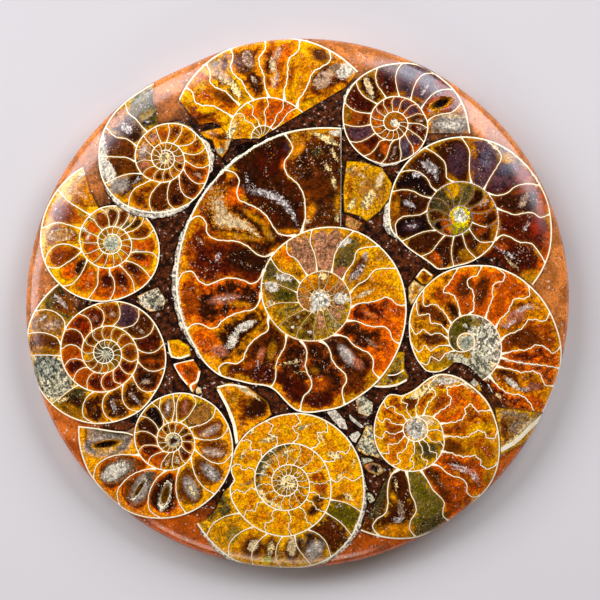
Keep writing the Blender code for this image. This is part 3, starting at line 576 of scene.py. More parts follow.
# %% [markdown]
# Round beans of orange and rust sit in clear honey here, so its chambers have soft corners and a crisp edge
# to the darker part.
# %% The left ammonite
COILS["ammonite_left"] = {
    "navel": (-68.9, 22.3), "depth": 7.8, "wall_end": 471,
    "wall": [
        (111, 30.2), (120, 29.6), (130, 28.9),
        *every(20, 140, 28.3, 27.4, 26.7, 25.8, 24.5, 23.2),
        *every(10, 250, 22.5, 21.9, 21.2, 20.7, 20.2),
        (310, 19.7), (330, 18.9), (350, 17.8), (360, 17.3), (380, 16.3), (400, 15.6), (420, 14.9),
        (430, 14.4), (440, 14), (450, 13.8), (470, 13.6),
        *every(20, 480, 13.3, 12.9, 12.5, 11.9, 11.3, 10.7, 10, 9.4, 8.8, 8.2, 7.9, 7.6, 7.3),
        (750, 6.7),
        *every(40, 780, 6.3, 6.1, 5.8, 5.2, 4.7, 4.1, 3.8),
        (1080, 3.5), (1200, 3.4),
    ],
    "core": 3.3,
    "edge": [(112.5, 18), (113.5, 22), (111.5, 27)],
    "septa": [
        [(135.6, 28.6), (136, 21.9), (133.2, 17.7), (127.2, 13.3)],
        [(168, 27.2), (165, 25), (162, 23.5), (158.4, 20.6), (157.2, 17.7), (155, 12.7)],
        [(195, 26), (189.6, 24.5), (182.4, 21), (181.2, 16.9), (186, 13.6), (192, 11.6)],
        [(199.9, 25.6), (204.5, 21.9), (203.5, 18.6), (200.4, 14.4), (194.4, 11.5)],
        [(220.8, 24.4), (224.9, 21.9), (225.6, 17.7), (222, 14), (213.6, 11)],
        [(246.7, 22.6), (249.6, 18.6), (250.8, 16.5), (246, 12.8), (240, 9.9)],
        [(268, 21.3), (273.6, 16.5), (272.4, 13.2), (266, 11), (265, 9.3)],
        [(295.2, 20.1), (298.8, 15.3), (296.4, 12), (289.2, 8.6)],
        [(318, 19.3), (320.4, 14.8), (318, 11.1), (307.2, 8.1)],
        [(340.8, 18.4), (345.6, 16.1), (343.2, 11.1), (333.6, 7.7)],
        [(378, 16.4), (369.6, 13.2), (368.4, 10.7), (376.8, 6.5)],
        [(399.6, 15.6), (392.4, 12.8), (390.5, 10.3), (397, 6.2)],
        [(414, 15.1), (407, 12.6), (405, 10), (410, 6.2)],
        [(426, 14.6), (419, 12.3), (417, 9.5), (421, 6.1)],
        [(448, 13.8), (438, 12), (436, 9.5), (441, 6)],
        [(468, 13.6), (461, 11.5), (458, 9), (460, 5.8)],
        [(492, 13.1), (488, 11), (489, 8.5), (486, 5.6)],
    ],
    "inner_septa": {"from": 512, "to": 1070, "gap": 24.3, "lean": 2, "bow": -3},
    "fills": [
        "amber honey", "rust amber", "rust honey", "rust amber", "orange honey", "orange amber",
        "rust orange", "rust orange", "rust amber", "orange honey", "orange honey", "cognac amber",
        "umber honey", "khaki oat", "cognac oat", "maroon oat", "maroon oat", "orange honey", "orange honey",
        "orange honey", "orange honey", "orange honey", "orange honey", "rust honey", "rust honey",
        "rust amber",
    ],
    "core_fill": "sage sage",
    "hearts": {
        0: (0.6, 0.5, 0.34, 0.22), 1: (0.4, 0.5, 0.3, 0.2), 2: (0.5, 0.45, 0.42, 0.26),
        6: (0.6, 0.5, 0.3, 0.3), 9: (0.3, 0.5, 0.3, 0.2),
    },
    "glow_band": 0.13, "corner": 0.5, "crisp": 2.2, "bean": 0.7, "dark": -0.1,
}
say_written("ammonite_left")

# %% [markdown]
# A very regular coil. Its inmost whorls are too small to fill one by one, so they share one khaki fill.
# %% The lower left ammonite
COILS["ammonite_lower_left"] = {
    "navel": (-71.1, -18.9), "depth": 8.2, "wall_end": 483,
    "wall": [
        (124, 31.4),
        *every(10, 140, 31.1, 31, 30.8, 30.1, 29.1, 28.5, 28.4),
        (220, 27.7), (240, 26.9),
        *every(10, 260, 26.1, 25.6, 25.1, 24.7, 24.4, 23.8, 23.1, 22.8),
        (350, 22.4), (370, 21.8),
        *every(20, 380, 21.5, 21.2, 20.7, 19.9, 18.9, 18.3, 18, 17.4, 16.8, 16.3, 15.6, 15, 14.3, 13.6, 12.8,
               12.5, 12.2, 11.9),
        *every(40, 760, 11.2, 10.6, 9.9, 9.3, 8.6, 7.8),
        (980, 7.2), (1000, 6.7), (1020, 6.4), (1050, 6), (1080, 5.8), (1140, 5.5), (1200, 5.1), (1260, 4.6),
        (1300, 4.1), (1340, 3.5), (1380, 3.1), (1440, 2.8), (1560, 2.4),
    ],
    "core": 1.6, "edge": [],
    "septa": [
        [(148.8, 31), (142.8, 27.2), (140.4, 24), (141.6, 20), (148.8, 17.7)],
        [(165.6, 30.4), (162, 26), (160.8, 22.4), (162, 19.2), (168, 17.2)],
        [(181, 29), (181, 23), (182, 16.8)],
        [(222, 27.6), (223.2, 24), (224.4, 20), (228, 15.4)],
        [(259.2, 26.1), (249.6, 24.4), (246, 21.2), (246, 17.6), (252, 14.6)],
        [(276, 25.3), (268.8, 22.4), (265.9, 19.2), (267.6, 16), (274.8, 13.8)],
        [(299, 24.4), (292.3, 21.6), (290, 18.4), (292.8, 15.6), (300, 12.8)],
        [(324, 23), (316.8, 20.4), (314.4, 17.6), (316.3, 15.2), (321.6, 12.5)],
        [(347, 22.5), (340.8, 19.2), (339, 16.4), (342, 14), (346.8, 12.1)],
        [(370, 21.8), (363, 18.4), (361.4, 16), (363.6, 13.6), (369.6, 11.7)],
        [(392, 21.3), (385, 18), (384, 15.2), (386.4, 12.8), (391, 11.4)],
        [(414, 20.8), (407.5, 17.6), (406.8, 14.8), (411.6, 12.8), (420, 10.9)],
        [(438, 20), (432, 16.8), (429.6, 14.4), (435.6, 10.7)],
        [(463, 18.8), (454, 15.6), (453, 13.2), (459.6, 10.3)],
        [(484, 18.2), (476.4, 14.8), (476.4, 12.4), (482.4, 10)],
        [(509, 17.8), (501.6, 14.8), (500.4, 12.4), (508.8, 9.5)],
        [(534, 17), (525.6, 14), (524.4, 12), (531.6, 9.1)],
        [(556, 16.4), (548.4, 13.2), (549.6, 10.8), (556.8, 8.7)],
        [(578, 15.7), (571, 12.4), (571, 10), (578.4, 8)],
        [(602, 15), (594, 11.6), (594, 9.2), (600, 7.6)],
        [(630, 14), (620.4, 10.8), (621.6, 8.8), (633.6, 6.9)],
        [(658, 12.9), (647.5, 10.4), (648.5, 8.4), (655, 6.5)],
        [(683, 12.5), (676.8, 10.4), (676.3, 8.4), (681.6, 6.2)],
        [(711, 12), (703.7, 9.6), (704.4, 7.6), (710.4, 5.9)],
    ],
    "inner_septa": {"from": 738, "to": 1500, "gap": 25.5, "lean": 0, "bow": -6},
    "fills": [
        "russet khaki", "tan gold", "russet gold", "putty putty", "umber khaki", "umber amber", "umber amber",
        "umber amber", "umber rust", "umber rust", "maroon cognac", "bark cognac", "plum mauve",
        "cognac amber", "maroon rust", "maroon orange", "maroon rust", "rust orange", "maroon orange",
        "rust orange", "maroon orange", "maroon orange", "maroon orange", "maroon amber", "cognac amber",
        "cognac amber", "cognac honey", "cognac amber", "cognac gold", "cognac gold", "rust gold",
        "gold honey",
    ],
    "inner_fill": "khaki gold", "inner_fill_from": 1030, "core_fill": "khaki bone",
    "hearts": {
        0: (0.5, 0.5, 0.3, 0.3), 1: (0.5, 0.5, 0.36, 0.3), 3: (0.45, 0.5, 0.6, 0.6), 6: (0.5, 0.5, 0.3, 0.14),
        7: (0.5, 0.5, 0.34, 0.14), 8: (0.5, 0.5, 0.2, 0.2),
    },
    "glow_band": 0.05, "dark": 0.2, "bean": 0.8, "crisp": 2, "corner": 0.5,
}
say_written("ammonite_lower_left")

# %% [markdown]
# Large chambers with pale hearts, three of which stayed open in the middle.
# %% The bottom left ammonite
COILS["ammonite_bottom_left"] = {
    "navel": (-46.2, -51.2), "depth": 8.6, "wall_end": 519,
    "wall": [
        (171, 35.5),
        *every(10, 180, 35, 34.3, 33.6, 32.7, 32),
        *every(10, 240, 31.1, 30.2, 29.2, 28.3, 27.4, 26.5, 25.6, 24.9, 24.2, 23.6, 23, 22.4, 21.9),
        *every(20, 380, 21, 20.1, 19, 18.1, 17, 16.2, 15.4, 14.8, 14.2, 13.5, 12.7, 11.8, 11, 10.3, 9.5, 8.8,
               8.4, 8),
        (780, 7.4), (840, 6.8), (900, 5.9), (940, 5.2), (980, 4.2), (1020, 3.6), (1080, 3.3), (1260, 2.9),
    ],
    "core": 2.6,
    "edge": [(168.5, 17.5), (170, 22), (170.5, 30)],
    "septa": [
        [(205, 33), (198, 30), (194.4, 25), (194.4, 20.5), (198, 16.5), (202.8, 13.4)],
        [(230, 31.5), (222, 28), (219.6, 24), (219.6, 19.5), (224.4, 15.5), (237.6, 11.9)],
        [(260, 29.2), (250.8, 27), (246, 22.5), (244.8, 18), (247.2, 14.5), (256.8, 11.1)],
        [(280, 27.4), (275.5, 23), (273.6, 19), (274.8, 14.5), (283.2, 10.2)],
        [(308, 25), (303.6, 20.5), (303, 15.5), (308.4, 11.5), (318, 8.9)],
        [(348, 22.5), (336, 20), (331.7, 16.5), (332.4, 13), (339.6, 8.4)],
        [(374, 21.3), (364.8, 18), (362, 14.5), (363, 11), (369.6, 7.9)],
        [(398, 20.2), (391, 17), (389.3, 13.5), (393.6, 10), (399.6, 7.6)],
        [(428.4, 18.7), (420, 17), (418, 13.5), (421, 9.5), (429.6, 7.4)],
        [(440, 18.1), (442.8, 16), (444.5, 12.5), (441.6, 9), (440, 7.2)],
        [(450, 17.6), (447.6, 12), (453.6, 7.2)],
        [(466, 16.8), (472.8, 12.5), (471.6, 10), (465.6, 7)],
        [(479, 16.3), (474, 13), (473, 10), (479, 6.9)],
        [(502, 15.4), (497, 12.5), (496, 9.5), (503, 6.7)],
        [(528, 14.6), (522, 12), (521, 9), (529, 6.4)],
        [(556, 13.7), (549, 11), (550, 8.5), (560, 6)],
        [(582, 12.7), (576, 10.5), (577, 8), (588, 5.7)],
        [(607, 11.6), (603, 9.5), (604, 7.5), (612, 5.3)],
        [(632, 10.6), (628, 9), (628, 7), (636, 4.7)],
        [(660, 9.5), (656, 8), (656, 6.2), (664, 4.2)],
        [(688, 8.7), (684, 7.2), (684, 5.5), (691, 3.8)],
    ],
    "inner_septa": {"from": 715, "to": 1200, "gap": 27, "lean": 4, "bow": -4},
    "fills": [
        "taupe amber", "russet orange", "russet orange", "umber orange", "russet gold", "russet amber",
        "russet amber", "russet amber", "tan khaki", "russet honey", "gold honey", "russet honey",
        "honey amber", "ink umber", "umber maroon", "umber rust", "maroon orange", "rust orange",
        "cognac gold bone", "cognac gold bone", "maroon rust", "maroon amber", "maroon amber", "umber amber",
        "rust amber",
    ],
    "core_fill": "umber sage",
    "hearts": {
        0: (0.5, 0.5, 0.26, 0.3), 1: (0.47, 0.5, 0.28, 0.26), 2: (0.5, 0.5, 0.3, 0.16),
        3: (0.5, 0.5, 0.36, 0.26), 4: (0.5, 0.5, 0.34, 0.2), 5: (0.5, 0.5, 0.34, 0.18),
        6: (0.5, 0.5, 0.34, 0.14), 7: (0.5, 0.5, 0.3, 0.14), 10: (0.5, 0.5, 0.3, 0.2),
        12: (0.5, 0.5, 0.3, 0.16), 18: (0.5, 0.5, 0.3, 0.2), 19: (0.5, 0.5, 0.3, 0.2),
    },
    "glow_band": 0.12, "corner": 0.62, "crisp": 2.6, "dark": 0.35, "bean": 1,
}
say_written("ammonite_bottom_left")

# %% [markdown]
# The brightest one, amber and honey all through, with one dark stain. Its septa have the deepest frills.
# %% The bottom ammonite
COILS["ammonite_bottom"] = {
    "navel": (-3.5, -66.7), "depth": 9.2, "wall_end": 543,
    "wall": [
        (204, 36.9), (215, 36.2), (225, 35.7), (235, 35.2),
        *every(10, 240, 34.8, 33.3, 32.3, 32, 32.1, 32.3, 32, 31.4, 30.8, 29.9, 29.2, 28.6, 28, 27.8),
        (390, 27.5), (410, 27.1),
        *every(10, 430, 26.6, 26.1, 25.5, 25, 24.4),
        (490, 23.9), (510, 22.9), (520, 22.2), (530, 21.2), (538, 19.9), (543, 21.3),
        *every(20, 550, 21.7, 21.2, 20.6, 20.2, 19.9, 18.9, 18.1, 17.2, 16.2),
        *every(40, 720, 15.8, 15.3, 14.8, 13.8, 12.8, 11.8),
        (970, 10.6), (990, 10.2), (1030, 9.3), (1070, 8.1), (1080, 7.9), (1110, 7.4), (1160, 6.8),
        (1200, 6.6), (1260, 6), (1320, 5.3), (1360, 4.6), (1400, 4), (1440, 3.5), (1560, 2.6),
    ],
    "core": 1.8,
    "crust": [(205, 262, 0.3, 1, "bone"), (284, 366, 0.5, 1.1, "bone")],
    "edge": [(188, 24), (195, 26.5), (200, 28.5), (203, 31.5), (204.5, 34.5)],
    "septa": [
        [(213, 36.3), (209, 32), (208, 27), (212, 21.3)],
        [(231, 35.4), (226, 31), (226, 26), (232, 20.7)],
        [(247, 33.8), (243, 29.5), (243, 25), (248, 20.4)],
        [(265.2, 32.2), (261, 28.5), (260, 24.5), (264, 20.1)],
        [(285.6, 32.2), (282, 28), (278, 24), (277, 19.7)],
        [(300, 32), (302.4, 25.7), (300, 21.9), (292.8, 18.9)],
        [(320.4, 30.8), (322.8, 24.7), (321.6, 17.8)],
        [(338.4, 29.3), (340.8, 23.3), (338.4, 17)],
        [(366, 27.9), (362, 24), (366, 21), (361, 18), (366, 15.7)],
        [(392, 27.5), (387, 24.5), (392, 22), (386, 19), (391, 15.5)],
        [(418, 27), (413, 24), (419, 21.5), (412, 18.5), (416, 15.2)],
        [(444, 25.9), (439, 23), (445, 20.5), (438, 18), (443, 14.9)],
        [(470, 24.4), (465, 22), (471, 19.5), (464, 17), (468, 14.3)],
        [(498, 23.5), (492, 21), (498, 18.5), (491, 16), (496, 13.5)],
        [(524, 21.8), (519, 19.5), (524, 17.5), (518, 15), (522, 12.7)],
        [(552, 21.6), (548, 19), (553, 16.5), (548, 14), (552, 12)],
        [(578, 21), (574, 18.5), (580, 16), (574, 13.5), (578, 11.4)],
        [(606, 20.3), (601, 17.5), (607, 15), (602, 12.5), (606, 10.8)],
        [(634, 19.8), (630, 16.5), (634, 14), (630, 10.4)],
        [(660, 18.5), (656, 15.5), (660, 12.5), (655, 10)],
        [(682, 17.6), (678, 14.5), (681, 11.5), (677, 9.5)],
        [(700, 16.8), (696, 13.5), (700, 11), (696, 9)],
    ],
    "inner_septa": {"from": 724, "to": 1500, "gap": 23, "lean": 0, "bow": 5},
    "fills": [
        "khaki honey", "gold honey", "amber honey", "amber honey", "gold honey", "taupe honey",
        "cognac umber", "fern fern", "amber honey", "amber honey", "amber honey", "amber honey",
        "honey amber", "honey amber", "amber honey", "amber honey", "amber honey", "amber honey",
        "amber honey", "amber honey", "amber honey", "amber honey", "rust honey", "rust honey", "amber honey",
        "gold amber",
    ],
    "inner_fill": "gold honey bone", "inner_fill_from": 1090, "core_fill": "umber cream",
    "hearts": {2: (0.4, 0.5, 0.3, 0.3), 5: (0.4, 0.5, 0.3, 0.4)},
    "glow_band": 0.1, "stain": {"from": 790, "to": 930, "reach": 0.45, "colour": "moss"}, "frill": 0.34,
    "frill_from": 380,
}
say_written("ammonite_bottom")

# %% [markdown]
# ## The broken pieces
# The lapidary presses broken crystal and shell into the spaces. Each is a simple polygon with a fill, and
# some keep a strip of their own shell along one side.
# %% Fragments and chips
FRAGMENT_DEPTH = 4.4
FRAGMENTS = {
    "fragment_wedge": (
        [(18.3, 52.9), (24.3, 52.5), (31.4, 50.2), (35, 44.4), (34.3, 39.4), (30.8, 34.4), (25.8, 30.3),
         (22.8, 32.4), (17.3, 33.9), (16.9, 42.4)], "gold honey tan", (2, 1)),
    "fragment_cream": ([(18, 33), (24.3, 29.8), (22.1, 26.6), (17.6, 28)], "sand rose", None),
    "fragment_upper_left": (
        [(-36.6, 63.5), (-30.3, 65), (-26.5, 65.4), (-24, 62.4), (-25.8, 57), (-28, 53.9), (-30, 55.8),
         (-31.7, 60.6), (-34.3, 61.3)], "russet amber", None),
    "fragment_left_high": (
        [(-48.3, -13.7), (-44, -13.4), (-40.1, -15.9), (-39.4, -19.7), (-43.7, -20.8), (-46.9, -20.1),
         (-47.9, -17.3)], "amber honey", None),
    "fragment_left_low": (
        [(-46.2, -22.6), (-42.2, -21.6), (-38.7, -20.8), (-35.9, -25.1), (-36.9, -29.4), (-38.6, -33.6),
         (-41.4, -30), (-43.7, -27.2)], "rust orange", None),
    "fragment_lower_left": (
        [(-30.5, -31.1), (-25.6, -29.4), (-18.8, -30.8), (-11, -36.5), (-9.6, -41.4), (-13.1, -44.3),
         (-18.9, -48.6), (-22.8, -53), (-24.1, -45.2), (-26.5, -38.6)], "cognac amber", None),
    "fragment_hook": (
        [(28, -30.8), (32.2, -25.8), (37.2, -18), (39.7, -18), (39.7, -24.4), (41.4, -27.2), (40.3, -29.4),
         (34.3, -31.5), (29.4, -31.2)], "umber khaki", None),
    "fragment_rim_right": (
        [(73.3, -38.6), (86.5, -40), (92.5, -41.4), (91.5, -46), (86.2, -51.4), (75.3, -57),
         (74.8, -51.4)], "tan sand", None),
    "chip_brown": ([(43.6, 9.5), (46.8, 13.4), (50.6, 10.5), (49.2, 6.8), (46.2, 7.1)], "cognac gold", None),
    "chip_yellow": (
        [(41.1, 6), (43.2, 8.7), (46.2, 6.6), (48.8, 6.3), (44.7, 1.2), (42.1, -0.7),
         (41.2, 1.2)], "gold oat", None),
    "chip_green": (
        [(21.3, -35.2), (24.3, -34.2), (28, -37), (27.7, -40.8), (25.8, -42.2),
         (22.5, -40.8)], "sage bone", None),
    "chip_pyrite": (
        [(21.3, -53.4), (23.6, -49.7), (25.4, -45.2), (27.7, -45.2), (28.8, -50.8), (29.9, -55.2),
         (31.7, -58.2), (28.8, -57.1), (25.1, -56.4), (22.1, -54.5)], "putty putty", None),
    "chip_white": (
        [(10.2, -39.6), (13.2, -38.5), (17.6, -43.4), (18.7, -47.1), (15.8, -46.3),
         (13.2, -43.4)], "bone rose", None),
    "chip_glassy": (
        [(24.3, -60.1), (27.7, -58.9), (30.6, -59.8), (32.5, -62.4), (29.9, -64.1),
         (26.2, -62.7)], "ink taupe", None),
    "chip_honey": (
        [(64, -29.6), (65.5, -27.8), (67.7, -30), (68.5, -32.6), (66.3, -32.6)], "oat honey", None),
    "patch_calcite": (
        [(-59.6, 2.7), (-54.8, 4.9), (-51.8, 6), (-48.8, 1.2), (-49.9, -2.5), (-54.8, -3.3),
         (-58.5, -0.7)], "putty bone", None),
}
RIM_FRAGMENT_DEPTH = 9.0
# A strip of shell: the piece that it belongs to, its line, and its width in millimetres
SHELL_STRIPS = [
    ("fragment_left_high", [
        (-48.3, -14.2), (-47.5, -17.6), (-46.6, -19.8), (-43.6, -20.3), (-40.3, -19.2)], 0.7),
    ("fragment_left_low", [
        (-38.5, -20.9), (-41.5, -21.4), (-45.6, -22.9), (-43.2, -27.4), (-40.9, -30.3)], 0.8),
    ("fragment_left_low", [(-36.4, -25.2), (-37.4, -29), (-39.6, -30.6), (-39.2, -32.8)], 0.8),
    ("fragment_lower_left", [(-29.6, -31.9), (-26, -38.8), (-23.6, -45.2), (-22.6, -52)], 1.3),
    ("fragment_lower_left", [(-29.8, -31.2), (-25.4, -30.3), (-19, -31.3)], 0.6),
    ("fragment_hook", [(28.4, -30.9), (32, -31), (37, -30.2), (40.6, -28.4)], 0.7),
    ("fragment_hook", [(39.5, -24.8), (36.5, -26.5), (33.5, -26.8)], 0.4),
    ("fragment_rim_right", [(75.6, -54.8), (81, -51.6), (87, -46), (91.6, -42)], 1.6),
    ("fragment_upper_left", [(-30.6, 57.6), (-29.4, 56.2), (-28.6, 57.4), (-29.4, 58.8), (-30.6, 57.6)], 0.5),
    ("ammonite_bottom_left", [(-81, -46), (-75.8, -46.5), (-67.9, -47.7), (-63.4, -48.2), (-61, -49)], 0.45),
    ("chip_brown", [(44.2, 9.6), (46.6, 12.4), (49.8, 10.3)], 0.5),
    ("ammonite_centre", [(16.2, 65.4), (16.3, 50), (16.2, 28.6)], 0.35),
]
print(len(FRAGMENTS), "fragments,", len(SHELL_STRIPS), "strips of shell")

# %% [markdown]
# ## Blotches
# Iron, mud and late crystal stained some chambers in spots that no rule would place. These are written out
# one by one, as ovals of a named stone: centre, length, width and the way that the oval points. Later ones
# lie on top.
# %% Blotches of the centre ammonite
BLOTCHES = {}
BLOTCHES["ammonite_centre"] = [
    (11, 50.5, 4.5, 1.8, -50, "crumb"), (13.4, 45, 5, 2, -70, "crumb"), (14.8, 37, 9, 2.6, 88, "gold"),
    (14.8, 31.5, 4, 1.8, 80, "crumb"), (13.6, 55.4, 5, 1.5, -70, "crumb"), (10.5, 61, 12, 2.4, -25, "crumb"),
    (14.2, 63.2, 5, 2.6, 0, "bone"), (-13, 57, 24, 7, 27, "umber"), (-11, 52, 14, 9, 35, "maroon"),
    (-18, 47, 10, 7, 40, "umber"), (-3.8, 57.6, 4, 2.4, -70, "plum"), (-5.2, 52, 4, 2, 80, "orange"),
    (-3, 26.6, 8, 1.8, 0, "amber"), (7, 56.2, 4, 2.6, 0, "olive"), (0, 57.5, 8, 4, 60, "amber"),
    (3.6, 30.4, 3.4, 2.2, 50, "oat"), (5, 34, 7, 3, 70, "amber"), (6, 45, 16, 8, -60, "cognac"),
    (2, 50, 8, 5, -60, "bark"), (-24, 39.5, 9, 6, 30, "orange"), (-33, 41, 12, 6, 55, "rust"),
    (-29, 46.4, 7, 3.6, 40, "maroon"), (-16, 31.8, 9, 2.2, -36, "gold"), (-11, 26, 7, 2.6, -60, "gold"),
    (-21, 24.8, 15, 2.4, -8, "gold"), (-18, 16, 18, 10, -10, "umber"), (-29.5, 17, 4, 2, 70, "frost"),
    (-36.5, 23.5, 5, 1.6, -50, "sugar"), (-42, 14, 10, 3, -70, "amber"), (-39.5, 2, 13, 7, 80, "rust"),
    (-27, 1.6, 12, 4, 8, "rose"), (-27, 1.8, 9, 1.3, 10, "frost"), (-21, -0.4, 8, 2, -6, "gold"),
    (-40, 5, 4, 1, 20, "sugar"), (-34, -14, 12, 8, -45, "orange"), (-29, -17.5, 7, 4.6, -20, "rose"),
    (-19.5, -8.6, 9, 3.2, 25, "bone"), (-24, -13.8, 8, 3.6, 62, "bone"), (-15.5, -10.6, 14, 1.6, 48, "gold"),
    (-9.5, -17.5, 7, 2.8, 76, "gold"), (-13.6, -19, 5, 2.4, 70, "rose"), (-15, -23.5, 4, 1.2, 80, "frost"),
    (-12, -26.5, 14, 6, -12, "maroon"), (-17, -22.4, 8, 3, 20, "rust"), (-2, -21.8, 7, 1.4, 12, "crumb"),
    (0.4, -25.6, 4, 0.9, 0, "crumb"), (0, -32.5, 12, 7, -40, "maroon"), (8, -30, 8, 6, 0, "rust"),
    (9, -36, 10, 5, 20, "maroon"), (6.4, -25, 3, 2, 0, "gold"), (18.4, -19.4, 9, 3.8, -52, "haze"),
    (18.2, -19, 8, 1.7, -56, "frost"), (22.4, -22.6, 5, 3.6, -40, "rose"), (22, -29, 7, 4, -60, "cognac"),
    (27, -14.5, 7, 1.4, -34, "sugar"), (33, -21, 14, 8, 60, "orange"), (36, -5.5, 13, 8, 75, "orange"),
    (26.5, -4, 6, 1.8, -30, "rose"), (24.5, 3.4, 9, 1.8, 24, "oat"), (24, 7.4, 8, 1.8, 30, "russet"),
    (20.4, 10.2, 5, 2.4, 60, "blush"), (25, 17, 5, 2.2, 80, "haze"), (22.5, 13, 9, 4, 60, "russet"),
    (32, 17.5, 7, 4, -20, "gold"), (17.4, 22.4, 6.4, 2.6, 30, "bone"), (18, 17.2, 8, 7, 60, "olive"),
    (16, 11.6, 5, 4, 0, "rose"), (26, 25, 9, 3, -40, "honey"), (-4, 14.4, 3.6, 1.8, 0, "blush"),
    (-6, 17, 9, 7, -60, "amber"), (-4, 17.6, 5, 2.6, -50, "orange"), (-9.5, 12.6, 7, 4, 60, "olive"),
    (-5.4, 9.6, 7, 2.8, -12, "bone"), (-9.6, 6.2, 5.6, 4, -30, "bone"), (-4.6, 2.8, 8, 5, 0, "fern"),
    (-10, 0, 3.4, 2.6, 0, "crumb"), (-2, -8.8, 1.5, 1.4, 0, "bone"), (0.2, -5, 1.3, 1.1, 0, "bone"),
    (4.4, -10.6, 2.2, 1.7, 0, "bone"), (2.4, -12.6, 6, 1.6, -10, "fern"), (-8, -7, 12, 1.6, -50, "honey"),
    (12.8, -5.6, 5, 1, -60, "sage"), (16.4, 1.8, 6.4, 4.4, 0, "bone"), (9.4, 10, 3.4, 3, 0, "crumb"),
    (4.2, 7.4, 7, 5.6, 50, "amber"), (6.4, -1.6, 4.6, 3.4, 60, "bone"), (12, 8, 4, 3, 0, "gold"),
]
print("blotches so far:", sum(len(spots) for spots in BLOTCHES.values()))

# %% [markdown]
# Down the left side, frost and sugary white crystal lie on some chambers, and honey and rust stain others.
# %% Blotches down the left side
BLOTCHES["ammonite_upper_left"] = [
    (-57, 73.6, 11, 8, 40, "fern"), (-58, 77.6, 10, 3, 35, "sage"), (-56, 70.2, 7, 3, 30, "khaki"),
    # The small ink oval at (-56, 67.2) paints a tiny hole that isn't cut, so its black is painted shade.
    (-55.6, 79.2, 5, 2, 20, "haze"), (-56, 67.2, 5, 2.2, 10, "ink"), (-55.6, 67.6, 3, 1.4, 0, "frost"),
    (-67, 69, 9, 5, 50, "clay"), (-63.5, 65, 6, 3, -40, "frost"), (-61, 62, 6, 4, 0, "umber"),
    (-70.4, 49, 11, 5, -62, "bone"), (-72, 55, 9, 2.8, 85, "bone"), (-70.2, 50, 4, 2.4, -60, "haze"),
    (-66, 43.8, 9, 5, 30, "haze"), (-60.5, 46.6, 7, 3.4, 40, "umber"), (-60, 45.6, 4, 1.4, 40, "frost"),
    (-57.2, 56, 7, 4, 80, "blush"), (-57.4, 56.4, 4, 1.8, 60, "frost"), (-58, 50.6, 4, 3, 0, "rose"),
    (-36.6, 47.6, 4, 2, -40, "sugar"), (-45, 67.6, 5, 1.2, -20, "bone"), (-53.5, 61.5, 3, 3, 0, "clay"),
    (-66, 57, 8, 5, 0, "russet"), (-62, 51, 7, 5, 20, "russet"), (-46, 42.6, 6, 4, 60, "cognac"),
    (-51, 40, 7, 3, 80, "cognac"), (-49.1, 53.9, 3.4, 3.2, 0, "crumb"),
]
BLOTCHES["ammonite_left"] = [
    (-83, 41.4, 9, 1.8, -14, "sugar"), (-79.8, 48.6, 5, 2, 50, "bone"), (-79, 39.4, 7, 1.4, -40, "sugar"),
    (-82, 46, 8, 3, 50, "honey"), (-80, 36.6, 8, 2, -50, "rust"), (-88.4, 39.4, 7, 4, 30, "honey"),
    (-87, 33.4, 10, 6.6, -10, "rust"), (-90.6, 36, 5, 1.4, -40, "frost"), (-79.6, 33.6, 4, 3, 0, "honey"),
    (-88, 25.4, 10.6, 4.8, 4, "oat"), (-88, 25.4, 9.4, 3.7, 4, "tan"), (-88.2, 25.5, 6, 1.2, 4, "sand"),
    (-86, 17.2, 11, 6, 16, "rust"), (-80.4, 13.4, 7, 5, 60, "umber"), (-77, 10.4, 3.6, 1.6, 60, "sugar"),
    (-77.8, 6.4, 3, 1.2, 80, "sugar"), (-76.4, 31.6, 4.6, 3, 20, "sand"), (-72.8, 31, 7, 4.6, -60, "rust"),
    (-69, 31.8, 6, 3, 84, "cognac"), (-64.6, 32.4, 5.4, 3, 60, "cognac"), (-68.6, 16, 8, 2, 0, "honey"),
    (-64.4, 17.6, 5, 2, 36, "honey"), (-61.8, 22.4, 5, 2, 84, "honey"), (-79.4, 27.6, 3.4, 1.4, -60, "bone"),
    (-77.8, 24.4, 4, 1.2, 70, "bone"), (-79.8, 25.4, 3, 1.6, 80, "umber"), (-60.6, 32.6, 9, 2.8, 52, "sand"),
    (-59, 19.4, 4, 1.2, -10, "bone"), (-70.6, 8.6, 5, 5, 0, "maroon"), (-65.4, 9, 6, 4, -50, "maroon"),
    (-61, 13, 6, 4, -30, "maroon"), (-58.6, 17.4, 6, 3, -10, "maroon"), (-68, 3.6, 16, 3.4, 0, "orange"),
    (-56, 8.6, 8, 4, 50, "orange"), (-69.6, 11, 1.2, 4, 0, "bone"), (-64.4, 5.6, 3, 1.2, -40, "sugar"),
    (-54.4, 21, 5, 3, 80, "orange"), (-76.4, 21, 8, 5, 90, "orange"), (-70.4, 15.4, 12, 2.6, -6, "orange"),
    (-62.8, 19.4, 8, 2.4, 66, "orange"),
]
